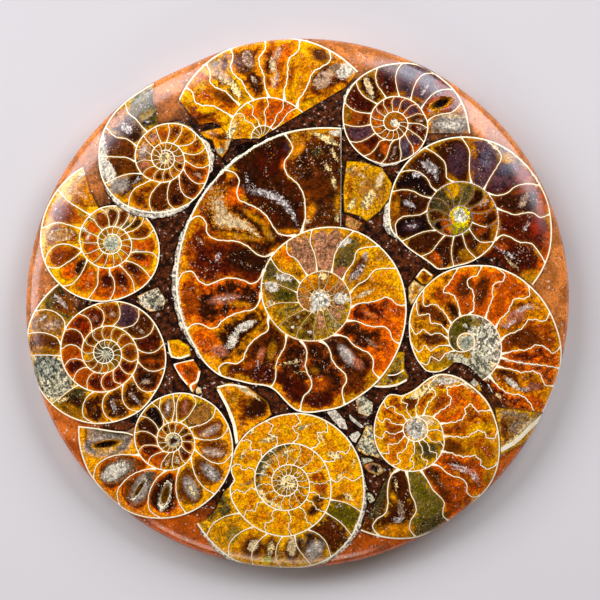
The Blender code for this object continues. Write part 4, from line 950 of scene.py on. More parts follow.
BLOTCHES["ammonite_lower_left"] = [
    (-88, 0.8, 8, 1.8, -48, "frost"), (-87.4, 5.2, 5, 4, -30, "moss"), (-91, 1, 7, 3, 60, "olive"),
    (-95, -5.8, 4.6, 1.4, 36, "bone"), (-91, -8.2, 8, 3, 14, "blush"), (-88, -4, 5, 2, -30, "khaki"),
    (-93, -13.4, 10, 4, -24, "russet"), (-94.6, -17.4, 9, 3, -10, "gold"), (-93.4, -24, 10, 8, 0, "sage"),
    (-82, -33.6, 6, 4, 20, "moss"), (-87.4, -36, 5, 2, 20, "crumb"), (-84, -40, 10, 4, -30, "gold"),
    (-54, -21.5, 5, 1.2, 0, "orange"), (-68.8, -4, 3, 2.4, 0, "sugar"), (-75, -5.6, 2.6, 2.4, 0, "rose"),
    (-58, -10.4, 4, 1.6, -40, "sugar"), (-79.4, -8.6, 3, 2.4, 0, "ruby"), (-71.5, -19, 7, 6.6, 0, "sage"),
    (-68.4, -37.8, 6.6, 1.6, -72, "frost"), (-60.4, -35.4, 6.6, 1.5, -50, "frost"),
    (-56.4, -29, 4, 2.2, 0, "sugar"), (-56.4, -29, 2.4, 1.2, 0, "frost"), (-86, -20, 8, 2.4, 84, "orange"),
    (-63, -5.6, 5, 4, 0, "plum"),
]
BLOTCHES["ammonite_bottom_left"] = [
    (-71, -52.8, 19, 8.4, 8, "haze"), (-71.4, -55.2, 11, 2, 12, "sand"), (-66, -48.4, 14, 1.6, -6, "moss"),
    (-67, -62.6, 14, 7.6, 30, "taupe"), (-68, -62.6, 12, 5.8, 30, "bone"), (-57.8, -68.4, 13, 6, 60, "haze"),
    (-54.6, -64.6, 5, 3.4, 60, "taupe"), (-31.4, -55.4, 9, 3, -8, "blush"),
    (-31.2, -55.6, 6, 1.2, -8, "frost"), (-32.4, -47.4, 8.6, 2.8, 28, "blush"),
    (-32.4, -47.4, 6, 1.1, 28, "frost"), (-39.6, -68.6, 9, 4.4, -62, "haze"),
    (-39.2, -69.8, 6, 1.4, -62, "crumb"), (-32, -63, 9, 4, -44, "haze"), (-32.2, -62.6, 6, 1.4, -44, "frost"),
    (-48.2, -38.8, 6, 2, 80, "blush"), (-48.2, -38.8, 5, 1, 80, "frost"), (-41.8, -38.6, 6, 2.4, 78, "rose"),
    (-36, -41.4, 10, 6, 50, "tan"), (-48, -58.4, 2.6, 1.4, 60, "sugar"), (-44.8, -58, 2.6, 1.4, 110, "sugar"),
    (-56, -57.6, 5, 3, -30, "orange"), (-52, -60.4, 5, 2, -20, "orange"),
]
print("blotches so far:", sum(len(spots) for spots in BLOTCHES.values()))

# %% [markdown]
# At the bottom and on the right, crumbs of mud follow the walls, and frost veils some of the chambers.
# %% Blotches at the bottom and the right
BLOTCHES["ammonite_bottom"] = [
    (-16.8, -90.6, 9, 7.6, 60, "russet"), (-16.4, -90, 5.6, 3.4, 50, "oat"),
    (-9.8, -91.6, 8.6, 5.6, 80, "russet"), (-10, -91.4, 6.4, 2.8, 80, "crumb"),
    (-2, -91.6, 9, 6, 84, "russet"), (-11.4, -95.6, 4, 3, 0, "lemon"), (-2, -90.6, 8, 3.6, 84, "oat"),
    (0.6, -90, 6, 2, 84, "umber"), (6.2, -90.8, 11, 8.4, 60, "bark"), (6.4, -91.6, 8.4, 5.4, 60, "haze"),
    (9.4, -94.6, 5, 2, 40, "gold"), (5.6, -86.8, 8, 2, -16, "umber"), (6, -91, 5, 1.6, 30, "frost"),
    (-24, -86, 7, 5, 60, "khaki"), (-27, -77, 6, 4, 60, "olive"), (-10.4, -50.4, 7, 2.4, 20, "crumb"),
    (-5.4, -56, 10, 2, 24, "crumb"), (-11.4, -60, 8, 1.6, 66, "crumb"), (-8, -57.4, 9, 2.4, 40, "sand"),
    (6, -76.8, 6, 3.4, 40, "umber"), (7.6, -72.8, 5, 3, 20, "umber"), (8.4, -68.6, 4.4, 3, 40, "rust"),
    (-3.6, -66.4, 6, 5.4, 0, "crumb"), (-13.4, -71, 7, 2.4, -60, "crumb"), (-8, -75, 8, 1.6, -30, "crumb"),
    (13.6, -56.4, 6, 2.4, -20, "crumb"), (9, -50, 6, 1.4, -60, "crumb"), (19, -72, 5, 2.4, -40, "crumb"),
    (-17.6, -66.6, 7, 2, 30, "sand"), (-20, -56, 5, 1.6, 60, "crumb"), (2, -46, 6, 1.6, 20, "crumb"),
    (16, -72, 6, 2, 10, "russet"), (-12.6, -62, 9, 1.8, 78, "putty"), (-9.4, -54.4, 7, 1.6, 40, "putty"),
    (-12.4, -59, 5, 1, 70, "ink"), (0, -58.6, 8, 1.6, -30, "sand"), (16, -64, 6, 1.6, 40, "crumb"),
    (-17, -47.6, 4, 1.6, 40, "crumb"), (20.6, -60, 5, 1.4, 80, "crumb"),
]
BLOTCHES["ammonite_bottom_right"] = [
    (47, -32.4, 13, 3.4, 28, "crumb"), (55.4, -28.8, 10, 3, 0, "bone"), (63, -31, 8, 1.8, -34, "oat"),
    (68, -46.6, 10, 4, 10, "honey"), (62, -64.6, 12, 5, -36, "rust"), (58.4, -66.4, 8, 2.4, -30, "orange"),
    (60.4, -61.4, 8, 2.6, -20, "frost"), (65.8, -64.4, 8, 2.6, -54, "frost"), (59, -77.6, 16, 6, 40, "rust"),
    (58, -79.4, 12, 3, 36, "orange"), (37.4, -80.4, 4, 2.6, 0, "frost"), (36.6, -67.4, 4, 1.3, -84, "crumb"),
    (36, -72.4, 5, 2, -60, "gold"), (38.4, -76.6, 9, 2.4, -76, "sugar"), (37, -84.4, 14, 5, 4, "amber"),
    (26, -82.6, 6, 3, 0, "cognac"), (52.6, -66.2, 3.6, 1, -60, "bone"), (47.6, -43.6, 8, 3, -20, "oat"),
    (57, -53.6, 9, 5, -10, "russet"), (66, -55.6, 9, 4, -30, "gold"), (71.4, -63, 9, 3.6, 70, "gold"),
    (59, -46.4, 10, 3, 10, "rust"), (48.4, -54.4, 9, 5, -36, "moss"), (54, -36.6, 9, 5, 40, "rust"),
    (42, -36.6, 6, 5, 60, "cognac"), (31, -50, 22, 3, 92, "honey"), (37.4, -48.4, 7, 5, 0, "rust"),
    (50, -82, 14, 5, 30, "olive"), (62.6, -34.6, 8, 1.8, -44, "amber"), (58, -39.6, 7, 1.8, 34, "amber"),
    (50.4, -64.4, 9, 4.4, -50, "russet"), (54.6, -70.6, 8, 4.4, -60, "cognac"),
    (58.4, -59.4, 8, 2, -12, "cognac"),
]
BLOTCHES["ammonite_right"] = [
    (79, -7.6, 6, 2, 30, "frost"), (84.4, -1.8, 8, 2, 24, "frost"), (80, -5.4, 13, 5, 34, "rose"),
    (90, -4, 8, 5, -40, "amber"), (79.6, -29.6, 7, 2.6, -40, "bone"), (84, -32, 5, 2, 0, "frost"),
    (88, -31, 7, 3.4, 0, "rose"), (84, -22.2, 15, 1, -7, "bone"), (91, -11, 10, 6, -50, "rust"),
    (73.6, -33.8, 9, 1.4, -36, "crumb"), (88.4, -37, 9, 5, -30, "orange"), (84, -13, 12, 7, 0, "cognac"),
    (62, 6, 8, 6, 60, "cognac"), (68.4, 5, 12, 5, 76, "cognac"), (61, -21.2, 12, 4, -22, "putty"),
    (68, -24.2, 12, 6, -46, "putty"), (61.4, -8.2, 10, 6, 36, "fern"), (66.4, -7.2, 4.2, 3.2, 0, "khaki"),
    (62.4, -8.4, 2.6, 1.2, -50, "bone"), (57.4, -15.6, 3, 4, 0, "moss"), (73.6, 10.4, 7, 3, 0, "orange"),
    (50, -3.6, 9, 5, -30, "cognac"), (51.4, -13, 8, 4, 0, "russet"), (54, 2, 8, 5, -40, "rust"),
    (76, -25.4, 8, 1.6, -8, "umber"), (58, -3, 8, 3, -56, "umber"), (52, -20, 8, 4, 30, "tan"),
]
print("blotches so far:", sum(len(spots) for spots in BLOTCHES.values()))

# %% [markdown]
# Along the top, amber and orange shine out of the dark chambers in spots, and sugary crystal lies on a few.
# %% Blotches along the top
BLOTCHES["ammonite_upper_right"] = [
    (77.6, 18.6, 9, 1.4, -30, "frost"), (76.4, 20.8, 5, 2.6, -10, "orange"), (80, 14.2, 6, 1.2, -40, "crumb"),
    (83, 17.6, 12, 6, -30, "maroon"), (91.4, 15, 12, 4, 68, "orange"), (87.6, 9.6, 9, 2.4, 16, "honey"),
    (86, 11, 8, 2.4, 16, "amber"), (93, 22, 13, 3.6, 84, "orange"), (89, 28.8, 8, 5, 70, "ruby"),
    (85, 28.4, 5, 2, 60, "frost"), (91.6, 38, 10, 5, 80, "orange"), (86, 42, 12, 2.4, 8, "rust"),
    # The mauve and steel ovals by the upper right rim are partly the chambers' own grey and partly a painted
    # lilac sheen of the lights' reflection there.
    (84, 38, 6, 3, 60, "sugar"), (76, 46.6, 12, 7, 54, "mauve"), (77, 49.6, 6, 4, 30, "steel"),
    (79.6, 51, 9, 3, -44, "steel"), (85, 47, 9, 7, -50, "ruby"), (77.6, 54, 7, 3.4, -10, "honey"),
    (74.6, 57, 8, 1.4, -40, "crumb"), (69, 52, 15, 9, 84, "mauve"), (70, 53.6, 7, 4, 84, "steel"),
    (65, 57.6, 7, 2.4, -76, "amber"), (57.4, 46.8, 4, 1.6, -30, "amber"), (64.2, 47, 4, 1.6, 70, "amber"),
    (43.4, 54.6, 16, 1.6, 46, "amber"), (36.6, 35.6, 7, 2.6, 80, "amber"), (42.6, 28.6, 6, 2.6, 10, "mauve"),
    (42.6, 28.6, 4, 1.4, 10, "frost"), (51.2, 17, 6, 3, -50, "orange"), (62.6, 18, 6, 4, 0, "gold"),
    (69, 20.8, 6, 4, 30, "amber"), (57.6, 42.4, 7, 5, 80, "honey"), (56, 29.4, 6, 4.4, -50, "orange"),
    (60.2, 28, 7.4, 4.2, -6, "lemon"), (73.6, 27, 7, 2.4, 70, "amber"), (69.4, 37.4, 5, 2.4, 30, "sugar"),
    (67, 31.6, 6, 3, 0, "rust"), (41.4, 36.8, 6, 2, -30, "frost"), (44, 47.6, 5, 2, 0, "frost"),
    (59.4, 53, 12, 7, 84, "plum"), (50.4, 51, 6, 6, 0, "bark"), (68, 26.6, 5, 3, 40, "rust"),
]
BLOTCHES["ammonite_top_right"] = [
    (53, 76, 16, 8, 28, "steel"), (49, 72, 7, 3.4, 40, "orange"), (61.4, 72.8, 5, 4, 60, "amber"),
    (53.3, 74.3, 11.6, 6.4, 26, "orange"), (57.6, 66.6, 15, 6.4, -4, "haze"), (57, 66.2, 10, 3, -8, "bone"),
    (57.4, 69.6, 12, 1.6, -4, "oat"), (36, 66.9, 3.4, 3.2, 0, "cream"), (35.6, 67, 11, 10, 0, "amber"),
    (50.6, 70.6, 6, 2, 30, "amber"), (50, 82, 12, 5.6, -44, "steel"), (54, 80.6, 7, 2.4, -40, "ruby"),
    (47.4, 78.4, 7, 3, 60, "mauve"), (47.6, 79.6, 6, 1.4, 60, "frost"), (41.6, 86.2, 8, 5, -20, "steel"),
    (44.4, 83, 5, 1.6, 80, "ruby"), (40.6, 80, 7, 4, 80, "plum"), (44, 75.6, 5, 1.6, -10, "amber"),
    (37, 77.6, 5, 1.6, 10, "amber"), (32.6, 57.4, 4, 3, 60, "orange"), (35.8, 56, 5, 1.6, 80, "sugar"),
    (40.2, 58, 4.4, 2, -70, "steel"), (44, 57.4, 4, 3, 0, "orange"), (45.4, 68, 4, 1.6, 0, "sugar"),
    (45.6, 64.8, 4, 1.6, 0, "sugar"), (20.4, 69, 8, 5, 0, "rust"), (18.6, 70, 3, 6, 0, "gold"),
    (24.6, 57, 9, 3.4, -40, "rust"), (33, 67.6, 8, 3.6, 84, "honey"), (36.4, 62.8, 9, 2.6, 4, "orange"),
    (38.8, 70.4, 5, 2, -40, "orange"), (26.6, 80, 9, 2.6, -66, "oat"), (30, 67, 6, 3, 80, "amber"),
    (37, 63, 8, 2.4, 0, "amber"), (24, 74, 8, 5, -40, "maroon"), (34, 83, 8, 5, -80, "maroon"),
]
BLOTCHES["ammonite_top"] = [
    (9.6, 84, 11, 7, 56, "russet"), (9.4, 83, 9, 6, 50, "sugar"), (13.4, 86.8, 6, 3, 40, "blush"),
    (18.6, 87, 9, 5.6, 40, "bone"), (13.6, 86.6, 6, 3, 50, "taupe"), (4.4, 74.4, 8, 2.4, 24, "honey"),
    (8.6, 92.6, 8, 5, -30, "russet"), (3, 83, 12, 4, 76, "amber"), (-2.4, 85, 12, 2.4, 84, "rust"),
    (-7.4, 92.8, 6, 2.4, 66, "blush"), (-9.2, 88.4, 6, 2.6, 96, "oat"), (-8.2, 83, 7, 2.4, 76, "blush"),
    (-11, 88, 12, 1.6, 88, "umber"), (-4.4, 92.6, 6, 3.4, 70, "orange"), (-19, 89.6, 9, 5, -76, "russet"),
    (-18.6, 91, 8, 4, -70, "sugar"), (-15.6, 82, 8, 4, -60, "bark"), (-16, 83, 4, 2, -60, "sugar"),
    (-28, 84.4, 8, 3.4, -30, "blush"), (-26.6, 82.4, 7, 1.6, -30, "crumb"), (-23, 79.6, 8, 3, -60, "crumb"),
    (-30.6, 89.4, 6, 4, 30, "taupe"), (-26, 92, 6, 2.4, -20, "clay"), (-27, 76.6, 10, 3.6, -24, "russet"),
    (-33.6, 69.4, 6, 1.8, 22, "umber"), (-24.6, 64, 8, 3, 60, "crumb"), (-4.6, 71, 9, 7, 40, "orange"),
    (-36, 80.4, 5, 3, 50, "honey"), (-16, 70.6, 5, 4, 60, "orange"), (0.6, 94, 4, 2, 60, "honey"),
    (5, 88, 7, 4, -40, "amber"),
]
print("blotches so far:", sum(len(spots) for spots in BLOTCHES.values()))

# %% [markdown]
# The broken pieces have a few stains too.
# %% Blotches of the broken pieces
BLOTCHES["fragment_upper_left"] = [
    (-28.8, 56.4, 3.6, 2.8, -10, "sage"), (-25.6, 60.4, 8, 1.6, 72, "oat"), (-33, 63.4, 4, 1.2, -10, "blush"),
]
BLOTCHES["fragment_wedge"] = [
    (26.4, 38.6, 9, 4.4, 60, "crumb"), (30.4, 45.4, 8, 3, 70, "oat"), (24.6, 47, 5, 1.4, -30, "oat"),
    (20.4, 37, 6, 2, 60, "crumb"), (19.6, 49.6, 5, 1.6, 20, "crumb"), (21, 48.2, 4, 3.2, 0, "tan"),
    (27, 50.6, 7, 2.4, -20, "honey"), (19.4, 42.6, 9, 2.4, 84, "rust"), (24, 44.4, 5, 1.4, 40, "oat"),
    (23, 50, 8, 1.2, 10, "sugar"),
]
BLOTCHES["fragment_rim_right"] = [
    (85.4, -45.4, 9, 2.4, 44, "oat"), (80, -51, 10, 1.8, 34, "crumb"), (80.6, -41.2, 10, 2.4, -8, "taupe"),
    (77, -47, 8, 3, -80, "russet"), (81.6, -45.6, 7, 4, 30, "taupe"),
]
BLOTCHES["patch_calcite"] = [(-50.6, -2, 4, 2, -60, "ink"), (-53, 3, 4, 0.8, -50, "umber")]
BLOTCHES["chip_green"] = [(25.8, -38.2, 8, 4.6, -80, "putty"), (22.8, -38, 6, 1.2, -85, "tan")]
BLOTCHES["chip_white"] = [(14.2, -42.4, 14, 6.4, -50, "bone"), (17, -43.6, 5, 2, -60, "russet")]
BLOTCHES["chip_glassy"] = [(25.8, -61, 3, 2.4, 60, "rose"), (30.6, -62, 4, 1.4, 50, "oat")]
BLOTCHES["chip_honey"] = [(65.4, -29.6, 4, 3.2, 0, "bone")]
BLOTCHES["fragment_lower_left"] = [
    (-20.4, -31.6, 14, 2.2, -34, "oat"), (-15, -38.4, 9, 7, 40, "umber"), (-24, -36, 8, 4, 60, "gold"),
]
print("blotches so far:", sum(len(spots) for spots in BLOTCHES.values()))

# %% [markdown]
# ## Shards
# Six slips of shell and stone, a few millimetres long, lie in the gaps between the large pieces. Each is an
# outline and one stone, so a loop adds it to the broken pieces, with one large blotch that covers it.
# %% Shards in the gaps
SHARD_COVER = 20.0
SHARDS = {
    "shard_sliver": ([(19, -41), (19.6, -43.2), (23.4, -46.3), (24.7, -46), (20.6, -42.4)], "bone"),
    "shard_step": (
        [(19.2, -49.2), (20.4, -51.4), (21.6, -51.8), (23.4, -48.6), (22.4, -47.4), (20.4, -48.2)], "bone"),
    "shard_grey": ([(23.7, -57.2), (24, -60.6), (26.4, -59.6), (28.4, -58.4), (26.6, -57.5)], "putty"),
    "shard_low": ([(25.8, -69.8), (26, -72.6), (27, -74.4), (28.8, -73), (27.6, -71)], "putty"),
    "shard_left": ([(-38.2, -30.4), (-37.6, -33.6), (-35.4, -33.4), (-36, -31.4)], "oat"),
    "shard_right": ([(70.4, -29.8), (71.8, -32.6), (74.6, -35.4), (74.8, -33.8), (72.6, -30.8)], "bone"),
}
for name, (outline, word) in SHARDS.items():
    FRAGMENTS[name] = (outline, word + " " + word, None)
    BLOTCHES[name] = [(*np.mean(outline, axis=0), SHARD_COVER, SHARD_COVER, 0, word)]
print(len(SHARDS), "shards")

# %% [markdown]
# ## Hollows
# Crystal didn't fill every chamber. Where it stopped, a vug is left, an open hollow lined with points, and
# the resin left one hole of its own beside the top ammonite. These are real hollows, so they are cut into
# the surface later.
# %% Vugs and the resin's hole
VUGS = {
    "ammonite_top_right": [
        {"at": (53.3, 74.3), "length": 8.4, "width": 3.4, "turn": 26.0, "depth": 3.0,
         "floor": "ink", "rim": "honey"},
    ],
    "ammonite_bottom_left": [
        {"at": (-71.0, -52.5), "length": 10.6, "width": 2.8, "turn": 10.0, "depth": 3.0,
         "floor": "umber", "rim": "honey"},
        {"at": (-59.0, -69.2), "length": 8.6, "width": 2.0, "turn": 56.0, "depth": 2.0,
         "floor": "gold", "rim": "cream"},
        {"at": (-49.2, -71.4), "length": 9.4, "width": 3.6, "turn": 74.0, "depth": 2.6,
         "floor": "gold", "rim": "cream"},
    ],
    "matrix_plate": [{"at": (-20.2, 57.4), "length": 9.0, "width": 3.6, "turn": 24.0, "depth": 4.0}],
}
VUG_LIP, VUG_STEEP, VUG_CURVE = 1.04, 0.62, 0.6


def oval(vug, share=1.0, sides=28):
    """The rim of a vug, or a smaller oval inside it."""
    turn = np.linspace(0.0, math.tau, sides, endpoint=False)
    ragged = 1.0 + 0.07 * np.sin(3.0 * turn + vug["turn"]) + 0.05 * np.sin(5.0 * turn)
    x = 0.5 * share * ragged * vug["length"] * np.cos(turn)
    y = 0.5 * share * ragged * vug["width"] * np.sin(turn)
    heading = math.radians(vug["turn"])
    return np.stack(
        [
            vug["at"][0] + x * math.cos(heading) - y * math.sin(heading),
            vug["at"][1] + x * math.sin(heading) + y * math.cos(heading),
        ],
        axis=1,
    )


def vug_share(vug, x, y):
    """0 at the middle of a vug, 1 at its rim."""
    heading = math.radians(vug["turn"])
    dx, dy = x - vug["at"][0], y - vug["at"][1]
    along = dx * math.cos(heading) + dy * math.sin(heading)
    across = dy * math.cos(heading) - dx * math.sin(heading)
    return np.hypot(along / (0.5 * vug["length"]), across / (0.5 * vug["width"]))


def sunk(piece, x, y):
    """How far the hollows of a piece lower its top at each point."""
    depth = np.zeros_like(x)
    for vug in VUGS.get(piece, []):
        inside = np.clip((VUG_LIP - vug_share(vug, x, y)) / (VUG_LIP - VUG_STEEP), 0.0, 1.0)
        depth = np.maximum(depth, vug["depth"] * inside**VUG_CURVE)
    return depth


print(sum(len(vugs) for vugs in VUGS.values()), "hollows")

# %% [markdown]
# ## From a coil to lines
# A spiral table gives the wall's radius at any coil angle. It could be a formula, but real coils grow
# unevenly, so a smooth curve through the knots is closer. From it come the outline of the sawn face, the
# wall and the septa.
# %% Spiral tables and outlines
FAR = 1e3
NO_ANGLE = 9e3  # More than any coil angle, for coils that have no such part
ARC_STEP = 0.7
OUTLINE_STEP = 1.4
CRUST_CURVE = 0.6
CRUST_ROUGH_FROM = 0.3
CRUST_WAVES = ((0.2, 0.9), (0.16, 0.37))
SHELL_HALF = 0.26


def hermite(xs, ys, at):
    """A smooth curve through points, read at the places asked for."""
    xs, ys = np.array(xs, float), np.array(ys, float)
    slopes = np.gradient(ys, xs)
    i = np.clip(np.searchsorted(xs, at) - 1, 0, len(xs) - 2)
    span = xs[i + 1] - xs[i]
    t = (at - xs[i]) / span
    start = ys[i] * (1 + 2 * t) * (1 - t) ** 2 + slopes[i] * span * t * (1 - t) ** 2
    return start + ys[i + 1] * t * t * (3 - 2 * t) - slopes[i + 1] * span * t * t * (1 - t)


def spiral_table(coil):
    """Adds the wall's radius at every whole degree."""
    knots = coil["wall"]
    coil["angle"] = np.arange(knots[0][0], knots[-1][0] + 0.5, 1.0)
    coil["radius"] = hermite([k[0] for k in knots], [k[1] for k in knots], coil["angle"])


def wall_radius(coil, angle):
    """The wall's radius at a coil angle, held at its end values."""
    return np.interp(angle, coil["angle"], coil["radius"])


def crust_reach(coil, angle, side):
    """How far a crust on the wall reaches inwards (side 2) or outwards (side 3), in millimetres."""
    reach = np.zeros_like(angle)
    for patch in coil.get("crust", []):
        share = np.clip((angle - patch[0]) / (patch[1] - patch[0]), 0.0, 1.0)
        reach = np.maximum(reach, patch[side] * np.sin(math.pi * share) ** CRUST_CURVE)
    return reach


def at_polar(coil, angle, radius):
    """Points in the plate's millimetres, from coil angles and radii."""
    turn = np.radians(np.asarray(angle, float))
    radius = np.asarray(radius, float)
    x, y = coil["navel"]
    return np.stack([x + radius * np.cos(turn), y + radius * np.sin(turn)], axis=-1)


def even_angles(coil, start, end, step):
    """Coil angles from start to end, about a step apart along the wall."""
    angles = [start]
    while angles[-1] < end:
        angles.append(angles[-1] + math.degrees(step / max(1.2, float(wall_radius(coil, angles[-1])))))
    return np.array(angles[:-1] + [end])


def anticlockwise(polygon):
    """The polygon, turned round if it runs clockwise."""
    x, y = polygon[:, 0], polygon[:, 1]
    area = np.sum(x * np.roll(y, -1) - np.roll(x, -1) * y)
    return polygon if area > 0 else polygon[::-1]


def coil_outline(coil):
    """The outline of a sawn face: round the outer wall, then back along its edge."""
    angles = even_angles(coil, coil.get("mouth", coil["wall"][0][0]), coil["wall_end"], OUTLINE_STEP)
    radius = wall_radius(coil, angles) + SHELL_HALF + crust_reach(coil, angles, 3)
    rough = sum(height * np.sin(angles * wave) for height, wave in CRUST_WAVES)
    rough = rough * (crust_reach(coil, angles, 3) > CRUST_ROUGH_FROM)
    wall = at_polar(coil, angles, radius + rough)
    edge = [at_polar(coil, angle, radius) for angle, radius in coil["edge"]] if coil.get("edge") else []
    return anticlockwise(np.vstack([wall] + [point[None] for point in edge]))


for name, coil in COILS.items():
    coil["name"] = name
    spiral_table(coil)
print("outline points:", {name: len(coil_outline(coil)) for name, coil in COILS.items()})

# %% [markdown]
# The wall is a line with a real width, so it becomes a ribbon, a thin polygon. A curve object with a bevel
# would stand above the polish, and a painted line would blur when the camera comes close.
# %% The spiral wall as a ribbon
WALL_HALF = 0.17
WALL_EXTRA = 0.1
LARGE_RADIUS = 40.0
LEAST_WIDTH = 0.3


def smooth_line(points, step=0.45):
    """A smooth curve through points, as points about a step apart."""
    points = np.asarray(points, float)
    run = np.concatenate([[0.0], np.cumsum(np.hypot(*np.diff(points, axis=0).T))])
    count = max(4, int(run[-1] / step))
    at = np.linspace(0.0, run[-1], count)
    if len(points) == 2:
        return np.stack([np.interp(at, run, points[:, k]) for k in (0, 1)], axis=1)
    return np.stack([hermite(run, points[:, k], at) for k in (0, 1)], axis=1)


def ribbon(line, half):
    """The thin polygon round a line, with half its width given at each point."""
    along = np.gradient(line, axis=0)
    along /= np.maximum(np.hypot(along[:, 0], along[:, 1]), 1e-9)[:, None]
    side = np.stack([-along[:, 1], along[:, 0]], axis=1) * np.asarray(half, float).reshape(-1, 1)
    return anticlockwise(np.vstack([line + side, (line - side)[::-1]]))


def whorl_width(coil, angle):
    """Distance between a wall and the next one in."""
    inner = np.where(angle + 360 > coil["angle"][-1], coil["core"], wall_radius(coil, angle + 360))
    return np.maximum(wall_radius(coil, angle) - inner, LEAST_WIDTH)


def wall_ribbon(coil):
    """The spiral wall, thinner towards the navel."""
    angles = even_angles(coil, coil["angle"][0], coil["angle"][-1], ARC_STEP)
    radius = wall_radius(coil, angles)
    return ribbon(at_polar(coil, angles, radius), WALL_HALF + WALL_EXTRA * np.clip(radius / LARGE_RADIUS, 0, 1))


print("longest wall:", max(len(wall_ribbon(coil)) for coil in COILS.values()) // 2, "points")

# %% [markdown]
# A septum is frilled, more so in large chambers, and its ribbon flares where it meets the walls, as the cream
# triangles in a cut shell do. It's run out to both walls, so that no gap is left at its ends.
# %% Septa as ribbons
SEPTUM_HALF = 0.1
SEPTUM_EXTRA = 0.1
SEPTUM_STEP = 0.28
INNER_LINE = 0.72
LARGE_CHAMBER = 26.0
COMMON_FRILL, SMOOTH_FRILL = 0.06, 0.04
FRILL_LENGTH = 3.2
FINE_FRILL, FINE_WAVE = 0.6, 0.43
FLARE, INNER_FLARE, OUTER_FLARE = 0.8, 0.55, 0.35
INNER_RUN, OUTER_RUN = 2.2, 1.0


def septum_ribbon(coil, septum):
    """One septum's ribbon, run out to the walls at both ends and flared at the inner one."""
    angle = np.array([point[0] for point in septum], float)
    radius = np.array([point[1] for point in septum], float)
    width = float(whorl_width(coil, angle[0]))
    radius[0] = wall_radius(coil, angle[0])
    met = max(coil["core"], float(wall_radius(coil, min(angle[-1] + 360.0, coil["angle"][-1]))))
    radius[-1] = min(max(met, radius[-1] - 1.0), radius[-1])
    line = smooth_line(at_polar(coil, angle, radius), SEPTUM_STEP)
    run = np.concatenate([[0.0], np.cumsum(np.hypot(*np.diff(line, axis=0).T))])
    size = min(width / LARGE_CHAMBER, 1.0)
    along = np.gradient(line, axis=0)
    along /= np.maximum(np.hypot(along[:, 0], along[:, 1]), 1e-9)[:, None]
    wave = FRILL_LENGTH * (0.45 + 0.55 * size)
    frill = np.sin(math.tau * run / wave + angle[0])
    frill += FINE_FRILL * np.sin(math.tau * run / (FINE_WAVE * wave) + 2.0 * angle[0])
    frill *= coil.get("frill", COMMON_FRILL) if angle[0] >= coil.get("frill_from", 0.0) else SMOOTH_FRILL
    frill *= (0.3 + 0.7 * size) * np.clip(np.sin(math.pi * run / run[-1]), 0.0, 1.0) ** 0.6
    line = line + np.stack([-along[:, 1], along[:, 0]], axis=1) * frill[:, None]
    thin = coil.get("inner_line", INNER_LINE) if angle[0] >= coil["inner_septa"]["from"] else 1.0
    half = (SEPTUM_HALF + SEPTUM_EXTRA * size) * thin
    inner = np.exp(-(((run[-1] - run) / (INNER_RUN * size + 0.15)) ** 2))
    outer = np.exp(-((run / (OUTER_RUN * size + 0.1)) ** 2))
    return ribbon(line, half + size * (FLARE * INNER_FLARE * inner + OUTER_FLARE * outer))


def all_septa(coil):
    """The septa written out, then the regular ones of the inmost whorls."""
    septa = [list(septum) for septum in coil["septa"]]
    inner = coil["inner_septa"]
    lean, bow = inner["lean"], inner["bow"]
    angle = inner["from"]
    while angle < min(inner["to"], coil["angle"][-1]):
        outer = float(wall_radius(coil, angle))
        depth = float(whorl_width(coil, np.float64(angle)))
        septa.append([
            (angle, outer), (angle - bow, outer - 0.35 * depth), (angle - bow, outer - 0.65 * depth),
            (angle + lean, outer - depth),
        ])
        angle += inner["gap"]
    return sorted(septa, key=lambda septum: septum[0][0])


for coil in COILS.values():
    coil["all_septa"] = all_septa(coil)
print("septa:", sum(len(coil["all_septa"]) for coil in COILS.values()))

# %% [markdown]
# ## Cutting a face into chambers
# A constrained Delaunay triangulation takes the outline and all ribbons as polygons and returns triangles
# that follow every line exactly, and it says which polygons each triangle is in. Extra points fill the
# chambers, so that colours can change smoothly there. It's like cutting stained glass: no image is needed,
# and the lines stay sharp at any distance.
# %% Polygons and filling points
CLEAR_OF_LINES = 0.36
ROW_SHARE = 0.866


def inside(polygon, x, y):
    """Which points are in a polygon, by counting crossings."""
    hit = np.zeros(x.shape, bool)
    for (x0, y0), (x1, y1) in zip(polygon, np.roll(polygon, -1, axis=0)):
        if y0 == y1:
            continue
        crosses = (y0 > y) != (y1 > y)
        hit ^= crosses & (x < (x1 - x0) * (y - y0) / (y1 - y0) + x0)
    return hit


def grown(polygon, distance):
    """An anticlockwise polygon with its sides moved out."""
    side = np.roll(polygon, -1, axis=0) - polygon
    normal = np.stack([side[:, 1], -side[:, 0]], axis=1)
    normal /= np.maximum(np.hypot(normal[:, 0], normal[:, 1]), 1e-9)[:, None]
    out = normal + np.roll(normal, 1, axis=0)
    size = np.maximum(np.hypot(out[:, 0], out[:, 1]), 1.0)[:, None]
    return polygon + 2.0 * distance * out / size**2


def filling_points(polygon, step, lines):
    """A staggered grid of points inside a polygon, clear of the points on its lines."""
    low, high = polygon.min(axis=0), polygon.max(axis=0)
    rows = np.arange(low[1], high[1], step * ROW_SHARE)
    points = []
    for k, row in enumerate(rows):
        along = np.arange(low[0] + 0.5 * step * (k % 2), high[0], step)
        points.append(np.stack([along, np.full_like(along, row)], axis=1))
    points = np.vstack(points)
    points = points[inside(polygon, points[:, 0], points[:, 1])]
    cell = CLEAR_OF_LINES * step * 2.0
    taken = set()
    for dx in (-0.5, 0.0, 0.5):
        for dy in (-0.5, 0.0, 0.5):
            near = np.floor((lines + cell * np.array([dx, dy])) / cell).astype(int)
            taken.update(map(tuple, near))
    keys = np.floor(points / cell).astype(int)
    free = np.array([tuple(key) not in taken for key in keys], bool)
    return points[free]


SQUARE = np.array([(0, 0), (10, 0), (10, 10), (0, 10)], float)
print(len(filling_points(SQUARE, 1.0, SQUARE)), "points fill a square of 10 mm")

